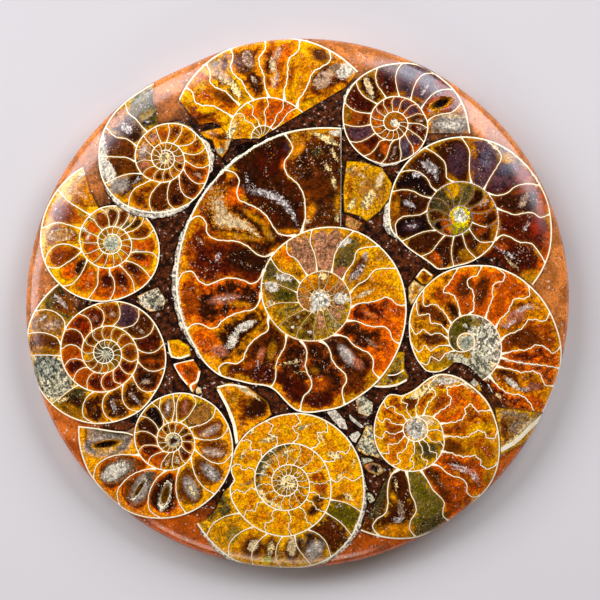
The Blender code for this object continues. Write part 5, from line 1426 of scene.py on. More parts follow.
# %% [markdown]
# Blender has this triangulation built in. Boolean modifiers could cut the face as well, but hundreds of
# thin cutters would be slow and would leave slivers.
# %% Triangles that follow the lines
CUT_TOLERANCE = 1e-4
LEAST_AREA = 1e-7


def triangulate(polygons, step):
    """Triangles inside the first polygon: the points, the triangles and the polygons that each one is in."""
    lines = np.vstack(polygons)
    filling = filling_points(polygons[0], step, lines)
    faces = []
    start = 0
    for polygon in polygons:
        faces.append(list(range(start, start + len(polygon))))
        start += len(polygon)
    points = np.vstack([lines, filling])
    points, edges, triangles, _, _, inputs = delaunay_2d_cdt(
        [Vector(point) for point in points.tolist()], [], faces, 0, CUT_TOLERANCE, True)
    points = np.array([point[:] for point in points])
    kept = [k for k, owners in enumerate(inputs) if 0 in owners and len(triangles[k]) == 3]
    corners = np.array([triangles[k] for k in kept])
    a, b, c = (points[corners[:, k]] for k in range(3))
    area = 0.5 * ((b[:, 0] - a[:, 0]) * (c[:, 1] - a[:, 1]) - (c[:, 0] - a[:, 0]) * (b[:, 1] - a[:, 1]))
    corners[area < 0] = corners[area < 0][:, ::-1]
    sound = np.abs(area) > LEAST_AREA
    return points, corners[sound], [set(inputs[k]) for k, good in zip(kept, sound) if good]


print(len(triangulate([SQUARE], 1.0)[1]), "triangles in the same square")

# %% [markdown]
# Pieces that touch are told apart by their order: the one laid first keeps its outline, and the others give
# way to it, with a thin bond of resin left between them.
# %% Outlines and who gives way
BOND = 0.25
EDGE_STEP = 1.5
EDGE_ANGLES = np.arange(0.0, 360.0, EDGE_STEP)
PLATE_OUTLINE = plate_edge(EDGE_ANGLES)[:, None] * np.stack(
    [np.cos(np.radians(EDGE_ANGLES)), np.sin(np.radians(EDGE_ANGLES))], axis=1)
OUTLINES = {name: coil_outline(coil) for name, coil in COILS.items()}
OUTLINES.update({name: anticlockwise(np.array(spec[0], float)) for name, spec in FRAGMENTS.items()})
DEPTHS = {name: COILS[name]["depth"] if name in COILS else FRAGMENT_DEPTH for name in OUTLINES}
DEPTHS["fragment_rim_right"] = RIM_FRAGMENT_DEPTH


def boxes_meet(a, b):
    """True if the boxes round two outlines overlap."""
    return bool(np.all(a.min(axis=0) < b.max(axis=0) + BOND) and np.all(b.min(axis=0) < a.max(axis=0) + BOND))


def earlier_neighbours(name):
    """Outlines laid before this piece that it gives way to, with the bond's width round them."""
    order = list(OUTLINES)
    before = order[: order.index(name)]
    return [grown(OUTLINES[other], BOND) for other in before if boxes_meet(OUTLINES[name], OUTLINES[other])]


print(len(OUTLINES), "outlines,", sum(len(earlier_neighbours(name)) for name in OUTLINES), "meetings")

# %% [markdown]
# ## Painting by place, not by picture
# Every chamber has its own small coordinates: how far in from the outer wall, and how far along from one
# septum to the next. The distance to its walls says where the glow is, and an oval round its middle says
# where the heart is. Those fields and the named colours are stored on the mesh's corners, and the material
# turns them into crystal.
# %% Where a point is in its coil
MOUTH_REACH = 50.0
MOST_TURNS = 6


def coil_place(coil, x, y):
    """Each point's coil angle: the innermost wall that still lies outside it."""
    dx, dy = x - coil["navel"][0], y - coil["navel"][1]
    radius = np.hypot(dx, dy)
    turn = np.degrees(np.arctan2(dy, dx)) % 360.0
    place = turn + 360.0 * np.ceil((coil["angle"][0] - turn) / 360.0)
    for k in range(MOST_TURNS):
        angle = turn + 360.0 * k
        known = angle <= coil["angle"][-1]
        before_mouth = (angle < coil["angle"][0]) & (angle > coil["angle"][0] - MOUTH_REACH)
        within = known & (before_mouth | ((angle >= coil["angle"][0]) & (wall_radius(coil, angle) >= radius)))
        place = np.where(within, angle, place)
    return place, radius


def septum_angle(coil, septum, share):
    """A septum's coil angle at a share of the way from the outer wall to the inner one."""
    angle = np.array([point[0] for point in septum], float)
    radius = np.array([point[1] for point in septum], float)
    outer = wall_radius(coil, angle)
    width = whorl_width(coil, angle)
    at = np.clip((outer - radius) / width, 0.0, 1.0)
    at[0], at[-1] = 0.0, 1.0
    order = np.argsort(at, kind="stable")
    return np.interp(share, at[order], angle[order])


def fill_words(coil, chamber, angle):
    """The three colour names that fill a chamber at a coil angle."""
    if chamber == "core":
        words = coil["core_fill"]
    else:
        fills = coil["fills"]
        words = fills[chamber] if chamber < len(fills) else fills[len(fills) - 4 + chamber % 4]
        if angle >= coil.get("inner_fill_from", NO_ANGLE):
            words = coil["inner_fill"]
    words = words.split()
    return words if len(words) == 3 else words + [None]


print("the centre ammonite's inmost fill:", fill_words(COILS["ammonite_centre"], "core", 0.0))

# %% [markdown]
# Three ways of laying a stain on the fields: a cover hides what is below, a steeped colour soaks into the
# crystal so that its own clouds still show, and a blotch picks one of the two by how grainy its stone is.
# %% Covers, steeped colours and blotches
NO_HEART, FULL_HEART = -2.0, 2.0
PLAIN = 2.0
SOFT_EDGE = 1.3
BRIGHT_STONE = 0.3
BRIGHT_DEPTH, DARK_DEPTH = 0.45, 1.25
STEEPED = {"body": 0.62, "glow": 1.05}
CALMING = 0.8
GRAINY = 0.5
WIDE_BLOTCH, BLOTCH_REACH, OVER_HEARTS = 4.0, 2.5, 0.25
BLANK = {"body": (0.0,) * 3, "glow": (0.0,) * 3, "heart": (0.0,) * 3, "field": (1.0, NO_HEART, 3.0),
         "texture": (0.0, 0.0, 0.0), "ray": (0.0, 0.0, 0.0), "bean": (0.0, 0.0, 0.0)}


def blank_paint(place):
    """Fields with nothing painted yet, for triangles at the coil angles given."""
    paint = {key: np.tile(value, (len(place), 3, 1)) for key, value in BLANK.items()}
    paint["place"] = place
    return paint


def cover(paint, field, reach, word, grain, over=FAR):
    """Lays a patch over the chambers wherever its field is the stronger one, or passes a limit."""
    covered = reach & (field > np.minimum(paint["field"][..., 1], over))
    paint["field"][..., 1] = np.where(covered, field, paint["field"][..., 1])
    paint["heart"][covered] = LINEAR[word]
    paint["texture"][covered, 1] = grain
    paint["texture"][covered, 2] = 1.0 if word in VEILED else PLAIN


def steep(paint, field, word):
    """Steeps the crystal in another colour, softly, so that its own clouds still show."""
    share = np.clip(0.5 + field / SOFT_EDGE, 0.0, 1.0)
    share = share * share * (3.0 - 2.0 * share)
    for key, strength in STEEPED.items():
        paint[key] += (LINEAR[word] * strength - paint[key]) * share[..., None]
    calm = BRIGHT_DEPTH if LINEAR[word].max() > BRIGHT_STONE else DARK_DEPTH
    paint["field"][..., 0] += (calm - paint["field"][..., 0]) * CALMING * share


def blotch(name, paint, places):
    """Lays a piece's own blotches, ovals of one stone each: grainy stones as a crust, clear ones as a tint."""
    for x, y, length, width, turn, word in BLOTCHES.get(name, []):
        oval_at = {"at": (x, y), "length": length, "width": width, "turn": turn}
        share = vug_share(oval_at, places[..., 0], places[..., 1])
        field = (1.0 - share) * min(width, WIDE_BLOTCH) / 2.0
        if word in VEILED or GRAIN[word] >= GRAINY:
            cover(paint, field, share < BLOTCH_REACH, word, GRAIN[word], over=OVER_HEARTS)
        else:
            steep(paint, field, word)


print("painted fields:", list(BLANK))

# %% [markdown]
# A coil is painted chamber by chamber, since each one was a closed room with a fluid of its own. The
# helpers come first: they find a chamber's two septa, its size and its round heart.
# %% The fields of one chamber
CORNER_SHARE = 0.3
COMMON_HEART = (0.5, 0.5, 0.26, 0.2)
BODY_SPREAD = (0.8, 1.2)
INWARD_FROM = 0.45
EDGE_SHARE, EDGE_LIMITS = 0.32, (0.35, 3.0)
TAPER_LIMITS = (0.2, 1.8)
RAY_GAP = 7.0


def corners_at(coil, points, corners, place):
    """Where each triangle's corners lie: coil angle, radius, whorl width, and how far in from the wall."""
    dx, dy = (points[corners][..., k] - coil["navel"][k] for k in (0, 1))
    radius = np.hypot(dx, dy)
    turn = np.degrees(np.arctan2(dy, dx))
    angle = place[:, None] + (turn - place[:, None] + 180.0) % 360.0 - 180.0
    wide = whorl_width(coil, angle)
    from_wall = wall_radius(coil, angle) - radius
    across = np.clip(from_wall / wide, 0.0, 1.0)
    return {"angle": angle, "radius": radius, "wide": wide, "from_wall": from_wall, "across": across}


def fill_stones(paint, here, words, rng):
    """Lays a body, a glow and a heart, the body a little lighter or darker than its stone."""
    for key, word in zip(("body", "glow", "heart"), words):
        paint[key][here] = LINEAR[word or "amber"]
    paint["texture"][here, :, 0] = GRAIN[words[0]]
    paint["texture"][here, :, 1] = GRAIN[words[2] or "amber"]
    paint["texture"][here, :, 2] = float(words[2] in VEILED)
    paint["body"][here] *= rng.uniform(*BODY_SPREAD)


def paint_chamber(coil, paint, at, k, here, has_heart):
    """The fields of chamber k: the depth from its walls, its heart, and the way out from its middle."""
    septa = coil["all_septa"]
    u, angle, w = at["across"][here], at["angle"][here], at["wide"][here]
    low = septum_angle(coil, septa[k - 1], u) if k > 0 else np.full_like(u, angle.min() - 1.0)
    high = septum_angle(coil, septa[k], u) if k < len(septa) else np.full_like(u, angle.max() + 1.0)
    span = np.maximum(high - low, 1.0)
    v = np.clip((angle - low) / span, 0.0, 1.0)
    length = np.radians(span) * at["radius"][here]
    to_septum = np.minimum(v, 1.0 - v) * length
    paint["field"][here, :, 2] = np.minimum(to_septum, np.minimum(u, 1.0 - u) * w)
    banded = np.minimum((u - coil["glow_band"]) * w, (1.0 - u) * w)
    size = np.minimum(np.median(w), np.median(length))
    corner = coil.get("corner", CORNER_SHARE) * size
    rounded = corner - np.hypot(np.maximum(corner - banded, 0), np.maximum(corner - to_septum, 0))
    deeper = coil.get("inward", 0.0) * (u - INWARD_FROM) + coil.get("dark", 0.0)
    soft = np.clip(EDGE_SHARE * size, *EDGE_LIMITS) / coil.get("crisp", 1.0)
    paint["field"][here, :, 0] = rounded / soft + deeper
    paint["bean"][here, :, 0] = coil.get("bean", 0.0)
    heart = (*coil.get("hearts", {}).get(k, COMMON_HEART), 0.0, 0.0)
    uc, vc, us, vs, lean, taper = heart[:6]
    if has_heart:
        along = (u - uc) / us
        narrow = vs * np.clip(1.0 - taper * along, *TAPER_LIMITS)
        paint["field"][here, :, 1] = 1.0 - np.hypot(along, (v - vc - lean * (u - uc)) / narrow)
    bearing = np.arctan2((u - uc) * w, (v - vc) * length)
    paint["ray"][here] = np.stack([np.cos(bearing), np.sin(bearing), np.full_like(u, RAY_GAP * k)], axis=-1)


print("rounding of a chamber's corners:", CORNER_SHARE, "of its size")

# %% [markdown]
# Over the chambers come a crust of shell along the wall, a stain from the navel outwards, and the lip of
# each vug, where the crystal turns pale and then falls away.
# %% Crusts, stains and the lips of vugs
CRUST_EDGE, CRUST_DEEPEST, CRUST_GRAIN = 1.2, 6.0, 0.85
STAIN_EDGE, STAIN_GRAIN = 2.5, 0.5
VUG_CRUST, VUG_EDGE, VUG_REACH, VUG_GRAIN = 1.25, 1.2, 1.8, 0.7


def paint_crusts(coil, paint, at):
    """Lays the patches of crust on a coil's wall, and the stain on an inner whorl."""
    for start, end, inner, _, word in coil.get("crust", []):
        share = np.clip((at["angle"] - start) / (end - start), 0.0, 1.0)
        field = (inner * np.sin(math.pi * share) ** CRUST_CURVE - at["from_wall"]) / CRUST_EDGE
        near = (at["angle"] > start - 4) & (at["angle"] < end + 4) & (at["from_wall"] < CRUST_DEEPEST)
        cover(paint, np.where(at["from_wall"] < -0.25, 1.5, field), near, word, CRUST_GRAIN)
    if "stain" in coil:
        stain = coil["stain"]
        share = np.clip((at["angle"] - stain["from"]) / (stain["to"] - stain["from"]), 0.0, 1.0)
        field = STAIN_EDGE * (stain["reach"] * np.sin(math.pi * share) - at["across"])
        cover(paint, field, (share > 0) & (share < 1), stain["colour"], STAIN_GRAIN)


def paint_vugs(name, paint, places):
    """A pale lip round each vug, and a dull floor in it, its stone laid at half brightness as painted shade."""
    for vug in VUGS.get(name, []):
        share = vug_share(vug, places[..., 0], places[..., 1])
        cover(paint, VUG_EDGE * (VUG_CRUST - share), share < VUG_REACH, vug.get("rim", "bone"), VUG_GRAIN)
        hole = np.clip((share - VUG_STEEP) / (1.0 - VUG_STEEP), 0.0, 1.0)[..., None]
        paint["bean"][..., 1] = np.maximum(paint["bean"][..., 1], 1.0 - hole[..., 0])
        for key in ("heart", "glow"):
            # Painted shade: the floor's stone is laid at half its brightness, for the shade in the hollow.
            paint[key][:] = LINEAR[vug.get("floor", "ink")] * 0.5 * (1.0 - hole) + paint[key] * hole


print("coils with a crust:", [name for name, coil in COILS.items() if "crust" in coil])

# %% [markdown]
# With these helpers, a coil is painted from the chambers up: the fills, the navel, the crusts, then the
# blotches.
# %% Painting a coil
NAVEL_BODY, NAVEL_EDGE = 0.78, 0.8


def paint_coil(coil, points, corners, seed):
    """Colours and fields at each corner of each triangle of a sawn face."""
    rng = np.random.default_rng(seed)
    middle = points[corners].mean(axis=1)
    place, radius = coil_place(coil, middle[:, 0], middle[:, 1])
    share = np.clip((wall_radius(coil, place) - radius) / whorl_width(coil, place), 0.0, 1.0)
    chamber = sum((septum_angle(coil, septum, share) < place).astype(int) for septum in coil["all_septa"])
    is_core = (place + 360.0 > coil["angle"][-1]) & (radius < coil["core"])
    at = corners_at(coil, points, corners, place)
    paint = blank_paint(place)

    for k in np.unique(chamber[~is_core]).tolist():
        here = (chamber == k) & ~is_core
        words = fill_words(coil, k, float(np.median(place[here])))
        fill_stones(paint, here, words, rng)
        paint_chamber(coil, paint, at, k, here, words[2])
    for start, end, words in coil.get("whorl_fills", []):
        fill_stones(paint, (place >= start) & (place < end) & ~is_core, (words + " amber").split(), rng)
    if is_core.any():
        fill_stones(paint, is_core, fill_words(coil, "core", 0.0), rng)
        paint["field"][is_core, :, 0] = (NAVEL_BODY * coil["core"] - at["radius"][is_core]) / NAVEL_EDGE

    paint_crusts(coil, paint, at)
    blotch(coil["name"], paint, points[corners])
    paint_vugs(coil["name"], paint, points[corners])
    paint["field"][..., 1] = np.clip(paint["field"][..., 1], NO_HEART, FULL_HEART)
    return paint


print("a navel is painted as far as its core's radius, such as", COILS["ammonite_centre"]["core"], "mm")

# %% [markdown]
# Shell lines and broken pieces are simpler. A line takes the colour of shell, and a broken piece glows at
# its sides.
# %% Painting lines and broken pieces
FRAGMENT_GLOW, LEAST_GLOW, FRAGMENT_BRIGHT, FRAGMENT_HEART = 0.14, 0.4, 0.7, 0.36


def paint_lines(name, paint, is_line):
    """Shell lines take their colour in the body's place, with a tint on the coils that have one."""
    coil = COILS.get(name, {})
    tinted = is_line & (paint["place"] >= coil.get("wall_tint_from", NO_ANGLE))
    paint["body"][is_line] = LINEAR["cream"]
    paint["body"][tinted] = LINEAR[coil.get("wall_tint", "cream")]
    if "inner_glow" in coil:
        paint["glow"][paint["place"] >= coil["inner_glow_from"]] = LINEAR[coil["inner_glow"]]


def to_sides(polygon, x, y):
    """Distance from points to the nearest side of a polygon."""
    best = np.full(x.shape, FAR)
    for (x0, y0), (x1, y1) in zip(polygon, np.roll(polygon, -1, axis=0)):
        run = (x1 - x0) ** 2 + (y1 - y0) ** 2
        t = np.clip(((x - x0) * (x1 - x0) + (y - y0) * (y1 - y0)) / max(run, 1e-9), 0.0, 1.0)
        best = np.minimum(best, np.hypot(x - x0 - t * (x1 - x0), y - y0 - t * (y1 - y0)))
    return best


def paint_fragment(name, points, corners):
    """The same fields for a broken piece: glow at its sides, and a heart where it has one."""
    outline, words, heart_at = FRAGMENTS[name]
    words = words.split()
    outline = np.array(outline, float)
    x, y = points[corners][..., 0], points[corners][..., 1]
    paint = blank_paint(np.zeros(len(corners)))
    for key, word in zip(("body", "glow", "heart"), words + words[1:]):
        paint[key][:] = LINEAR[word]
    size = float(np.min(np.ptp(outline, axis=0)))
    edge = to_sides(outline, x, y)
    centre = outline.mean(axis=0) + np.array(heart_at or (0.0, 0.0))
    paint["field"][..., 0] = edge / max(FRAGMENT_GLOW * size, LEAST_GLOW) - FRAGMENT_BRIGHT
    paint["field"][..., 2] = edge
    if heart_at is not None:
        paint["field"][..., 1] = 1.0 - np.hypot(x - centre[0], y - centre[1]) / (FRAGMENT_HEART * size)
    bearing = np.arctan2(y - centre[1], x - centre[0])
    paint["ray"][:] = np.stack([np.cos(bearing), np.sin(bearing), np.full_like(x, size)], axis=-1)
    paint["texture"][..., 0] = GRAIN[words[0]]
    paint["texture"][..., 1] = GRAIN[words[-1]]
    blotch(name, paint, points[corners])
    paint["field"][..., 1] = np.clip(paint["field"][..., 1], NO_HEART, FULL_HEART)
    return paint


print("shell lines take the colour", LINEAR["cream"].round(3))

# %% [markdown]
# Now every face is cut along its lines and painted. The rings near the plate's edge are there so that the
# rounded shoulder has enough points to be smooth.
# %% Cutting and painting every face
CHAMBER_STEP, FRAGMENT_STEP = 0.85, 0.7
SHOULDER_SAMPLES = (0.997, 0.99, 0.975, 0.955, 0.925, 0.89, 0.84, 0.78, 0.71)
HOLLOW_RINGS = (VUG_LIP, 0.85, VUG_STEEP, 0.3)


def cut_face(name):
    """A sawn face as triangles: points, corners and whether each triangle is a shell line."""
    coil = COILS.get(name)
    blockers = earlier_neighbours(name)
    lines = [wall_ribbon(coil)] + [septum_ribbon(coil, septum) for septum in coil["all_septa"]] if coil else []
    for piece, line, width in SHELL_STRIPS:
        if piece == name:
            lines.append(ribbon(smooth_line(line), 0.5 * width))
    rings = [PLATE_OUTLINE * share for share in SHOULDER_SAMPLES]
    hollows = [oval(vug, share) for vug in VUGS.get(name, []) for share in HOLLOW_RINGS]
    step = CHAMBER_STEP if coil else FRAGMENT_STEP
    polygons = [OUTLINES[name], PLATE_OUTLINE] + blockers + lines + rings + hollows
    points, corners, inputs = triangulate(polygons, step)
    first_line = 2 + len(blockers)
    blocked, ribbons = set(range(2, first_line)), set(range(first_line, first_line + len(lines)))
    keep = [1 in owners and not owners & blocked for owners in inputs]
    is_line = np.array([bool(owners & ribbons) for owners in inputs])
    return points, corners[keep], is_line[keep]


started = time.time()
FACES = {name: cut_face(name) for name in OUTLINES}
PAINTS = {}
for number, (name, (points, corners, is_line)) in enumerate(FACES.items(), 1):
    if name in COILS:
        PAINTS[name] = paint_coil(COILS[name], points, corners, number)
    else:
        PAINTS[name] = paint_fragment(name, points, corners)
    paint_lines(name, PAINTS[name], is_line)
print(sum(len(face[1]) for face in FACES.values()), "triangles cut and painted in",
      round(time.time() - started, 1), "s")

# %% [markdown]
# ## From a drawing to a solid
# A face gets its thickness the way a cookie cutter works: each triangle of the drawing is the top, its
# boundary is run straight down to the bottom of the pocket, and one flat polygon closes it. The resin plate
# is made by the same rule the other way round. Its triangles under a fossil drop to the pocket's floor, and
# upright walls join the levels, so that every fossil sits in a pocket of its own shape.
# %% Edges, loops and stored fields
COLOURS = ("body", "glow", "heart")


def boundary(corners):
    """The directed edges that belong to one triangle only, with the triangle and corner that each starts at."""
    edges = {}
    for face, (a, b, c) in enumerate(corners.tolist()):
        for corner, edge in enumerate(((a, b), (b, c), (c, a))):
            edges[edge] = (face, corner)
    return {edge: place for edge, place in edges.items() if (edge[1], edge[0]) not in edges}


def loops_of(edges):
    """Closed runs of points through directed edges."""
    after = {}
    for a, b in edges:
        after.setdefault(a, []).append(b)
    loops = []
    while after:
        start = next(iter(after))
        loop = [start]
        while True:
            options = after[loop[-1]]
            step = options.pop()
            if not options:
                del after[loop[-1]]
            if step == start:
                break
            loop.append(step)
        loops.append(loop)
    return loops


def write_corners(mesh, paint, owners):
    """Stores the painted fields. owners has a (triangle, corner) of the paint for each corner of each face."""
    faces = np.array([owner[0] for owner in owners])
    corner = np.array([owner[1] for owner in owners])
    for name in BLANK:
        values = paint[name][faces, corner]
        kind = "FLOAT_COLOR" if name in COLOURS else "FLOAT_VECTOR"
        attribute = mesh.attributes.new(name, kind, "CORNER")
        if name in COLOURS:
            values = np.concatenate([values, np.ones((len(values), 1))], axis=1)
            attribute.data.foreach_set("color", values.astype(np.float32).ravel())
        else:
            attribute.data.foreach_set("vector", values.astype(np.float32).ravel())


def link_mesh(name, points, faces, materials, slots=None):
    """A mesh object from points in millimetres."""
    mesh = bpy.data.meshes.new(name)
    mesh.from_pydata((np.asarray(points) * MM).tolist(), [], faces)
    for material in materials:
        mesh.materials.append(material)
    if slots is not None:
        mesh.polygons.foreach_set("material_index", np.asarray(slots, np.int32))
    obj = bpy.data.objects.new(name, mesh)
    bpy.context.scene.collection.objects.link(obj)
    return obj


print(len(boundary(FACES["chip_green"][1])), "edges run round the green chip")

# %% [markdown]
# A coarse crust isn't quite smooth after polishing, so its points sink by a few tenths of a millimetre at
# most. The rest of the top follows the plate's own polish.
# %% Building a fossil
SHARP_ANGLE = math.radians(38.0)
CRUST_RELIEF, CRUST_SINKS_FROM = 0.4, 0.2


def crust_pits(corners, is_line, paint, count):
    """How far each of the top's points sinks where a coarse crust lies, in millimetres."""
    crust = np.clip(paint["field"][..., 1] * 1.5, 0.0, 1.0) * paint["texture"][..., 1]
    crust = np.maximum(crust, 0.6 * paint["texture"][..., 0])
    crust[is_line] = 0.0
    lowest = np.ones(count)
    np.minimum.at(lowest, corners.ravel(), crust.ravel())
    drop = np.random.default_rng(count).uniform(0.0, 1.0, count)
    return CRUST_RELIEF * np.clip(lowest - CRUST_SINKS_FROM, 0.0, 1.0) * drop


def fossil_solid(name, points, corners, is_line, paint, materials):
    """A closed solid: the drawn top, upright sides and a flat back."""
    floor = PLATE_THICKNESS - DEPTHS[name]
    used, inverse = np.unique(corners, return_inverse=True)
    corners = inverse.reshape(corners.shape)
    points = points[used]
    count = len(points)
    height = top_height(points[:, 0], points[:, 1]) - sunk(name, points[:, 0], points[:, 1])
    top = np.column_stack([points, height - crust_pits(corners, is_line, paint, count)])
    low = np.column_stack([points, np.full(count, floor)])
    faces = corners.tolist()
    slots = is_line.astype(int).tolist()
    owners = [(k, c) for k in range(len(corners)) for c in range(3)]
    edges = boundary(corners)
    below = {}
    base = []
    for a, b in edges:
        for point in (a, b):
            if point not in below:
                below[point] = count + len(base)
                base.append(low[point])
    for (a, b), (face, corner) in edges.items():
        faces.append([below[a], below[b], b, a])
        slots.append(1)
        owners += [(face, corner), (face, (corner + 1) % 3), (face, (corner + 1) % 3), (face, corner)]
    for loop in loops_of(edges):
        faces.append([below[point] for point in reversed(loop)])
        slots.append(1)
        owners += [(0, 0)] * len(loop)
    obj = link_mesh(name + "_face", np.vstack([top, np.array(base)]), faces, materials, slots)
    write_corners(obj.data, paint, owners)
    obj.data.shade_smooth()
    obj.data.set_sharp_from_angle(angle=SHARP_ANGLE)
    return obj


print("deepest pit in a crust:", CRUST_RELIEF * (1.0 - CRUST_SINKS_FROM), "mm")

# %% [markdown]
# The resin plate needs to know what lies over each of its triangles. It also keeps, for every point, how far
# the nearest fossil is, because the resin's recipe paints shade into the narrow gaps.
# %% What lies over the plate
MOST_ROOM, ROOM_REACH = 4.0, 3.0


def owner_of(inputs, order):
    """Which fossil lies over a triangle of the plate: the first whose outline holds it.

    There is none where an earlier fossil's bond holds the triangle too. Outline k is polygon 1 + 2k, and its
    grown form is polygon 2 + 2k.
    """
    for k, name in enumerate(order):
        if 1 + 2 * k in inputs:
            if any(2 + 2 * j in inputs for j in range(k)):
                return None
            return name
    return None


def store_room(mesh, spots):
    """Stores how far each point of the plate is from the nearest fossil, in millimetres."""
    room = np.full(len(spots), MOST_ROOM)
    for outline in OUTLINES.values():
        low, high = outline.min(axis=0) - ROOM_REACH, outline.max(axis=0) + ROOM_REACH
        near = np.all((spots > low) & (spots < high), axis=1)
        room[near] = np.minimum(room[near], to_sides(outline, spots[near, 0], spots[near, 1]))
    mesh.attributes.new("room", "FLOAT", "POINT").data.foreach_set("value", room.astype(np.float32))


print("over the plate's middle lies", owner_of({1}, list(OUTLINES)))

# %% [markdown]
# The plate's triangles are sorted by what they lie under. Each level is a pocket's floor, and an upright
# wall joins two levels wherever they meet. The foot has a small chamfer, so that the edge doesn't chip.
# %% Building the resin plate
PLATE_STEP = 1.7
LEVEL_GAP = 1e-6
PLATE_RINGS = (0.997, 0.99, 0.98, 0.965, 0.945, 0.92, 0.89, 0.855, 0.81, 0.76, 0.7, 0.62)


def plate_solid(materials):
    """The resin plate with a pocket for every fossil."""
    order = list(OUTLINES)
    polygons = [PLATE_OUTLINE]
    for name in order:
        polygons += [OUTLINES[name], grown(OUTLINES[name], BOND)]
    rings = [PLATE_OUTLINE * share for share in PLATE_RINGS]
    holes = [oval(vug, share) for vug in VUGS["matrix_plate"] for share in HOLLOW_RINGS[:3]]
    points, corners, inputs = triangulate(polygons + rings + holes, PLATE_STEP)
    levels = [PLATE_THICKNESS - DEPTHS[name] for name in order]
    level_of = [order.index(owner) if (owner := owner_of(sets, order)) else -1 for sets in inputs]
    height = top_height(points[:, 0], points[:, 1]) - sunk("matrix_plate", points[:, 0], points[:, 1])

    placed, vertices = {}, []

    def z_of(point, level):
        return height[point] if level < 0 else levels[level]

    def vertex(point, level):
        if (point, level) not in placed:
            placed[point, level] = len(vertices)
            x, y = points[point]
            if level == "foot":
                inset = 1.0 - FOOT_CHAMFER / math.hypot(x, y)
                x, y, z = x * inset, y * inset, 0.0
            else:
                z = FOOT_CHAMFER if level == "land" else z_of(point, level)
            vertices.append((x, y, z))
        return placed[point, level]

    faces, edge_level = [], {}
    for (a, b, c), level in zip(corners.tolist(), level_of):
        faces.append([vertex(a, level), vertex(b, level), vertex(c, level)])
        for edge in ((a, b), (b, c), (c, a)):
            edge_level[edge] = level
    tops = len(faces)
    at_point = {}
    for (a, b), level in edge_level.items():
        at_point.setdefault(a, set()).add(level)
        at_point.setdefault(b, set()).add(level)

    def between(point, high, low=None):
        """The other levels met at a point below one level and above another, highest first."""
        found = [k for k in at_point[point] if k != high and z_of(point, k) < z_of(point, high) - LEVEL_GAP]
        if low is not None:
            found = [k for k in found if k != low and z_of(point, k) > z_of(point, low) + LEVEL_GAP]
        return sorted(found, key=lambda k: -z_of(point, k))

    for (a, b), level in edge_level.items():
        other = edge_level.get((b, a))
        if other is None:
            right = [vertex(b, k) for k in between(b, level)][::-1]
            left = [vertex(a, k) for k in between(a, level)]
            land = [vertex(a, "land"), vertex(b, "land")]
            faces.append([*land, *right, vertex(b, level), vertex(a, level), *left])
            faces.append([vertex(a, "foot"), vertex(b, "foot"), vertex(b, "land"), vertex(a, "land")])
        elif level != other and z_of(a, level) > z_of(a, other):
            right = [vertex(b, k) for k in between(b, level, other)][::-1]
            left = [vertex(a, k) for k in between(a, level, other)]
            low = [vertex(a, other), vertex(b, other)]
            faces.append([*low, *right, vertex(b, level), vertex(a, level), *left])
    rim = [edge for edge in edge_level if (edge[1], edge[0]) not in edge_level]
    for loop in loops_of(rim):
        faces.append([vertex(point, "foot") for point in reversed(loop)])
    obj = link_mesh("resin_plate", vertices, faces, materials)
    store_room(obj.data, np.array(vertices)[:, :2])
    obj.data.shade_smooth()
    obj.data.set_sharp_from_angle(angle=SHARP_ANGLE)
    print(tops, "triangles on the plate's top and pocket floors,", len(faces) - tops, "on its walls and side")
    return obj


print(len(PLATE_RINGS), "rings shape the plate's shoulder")

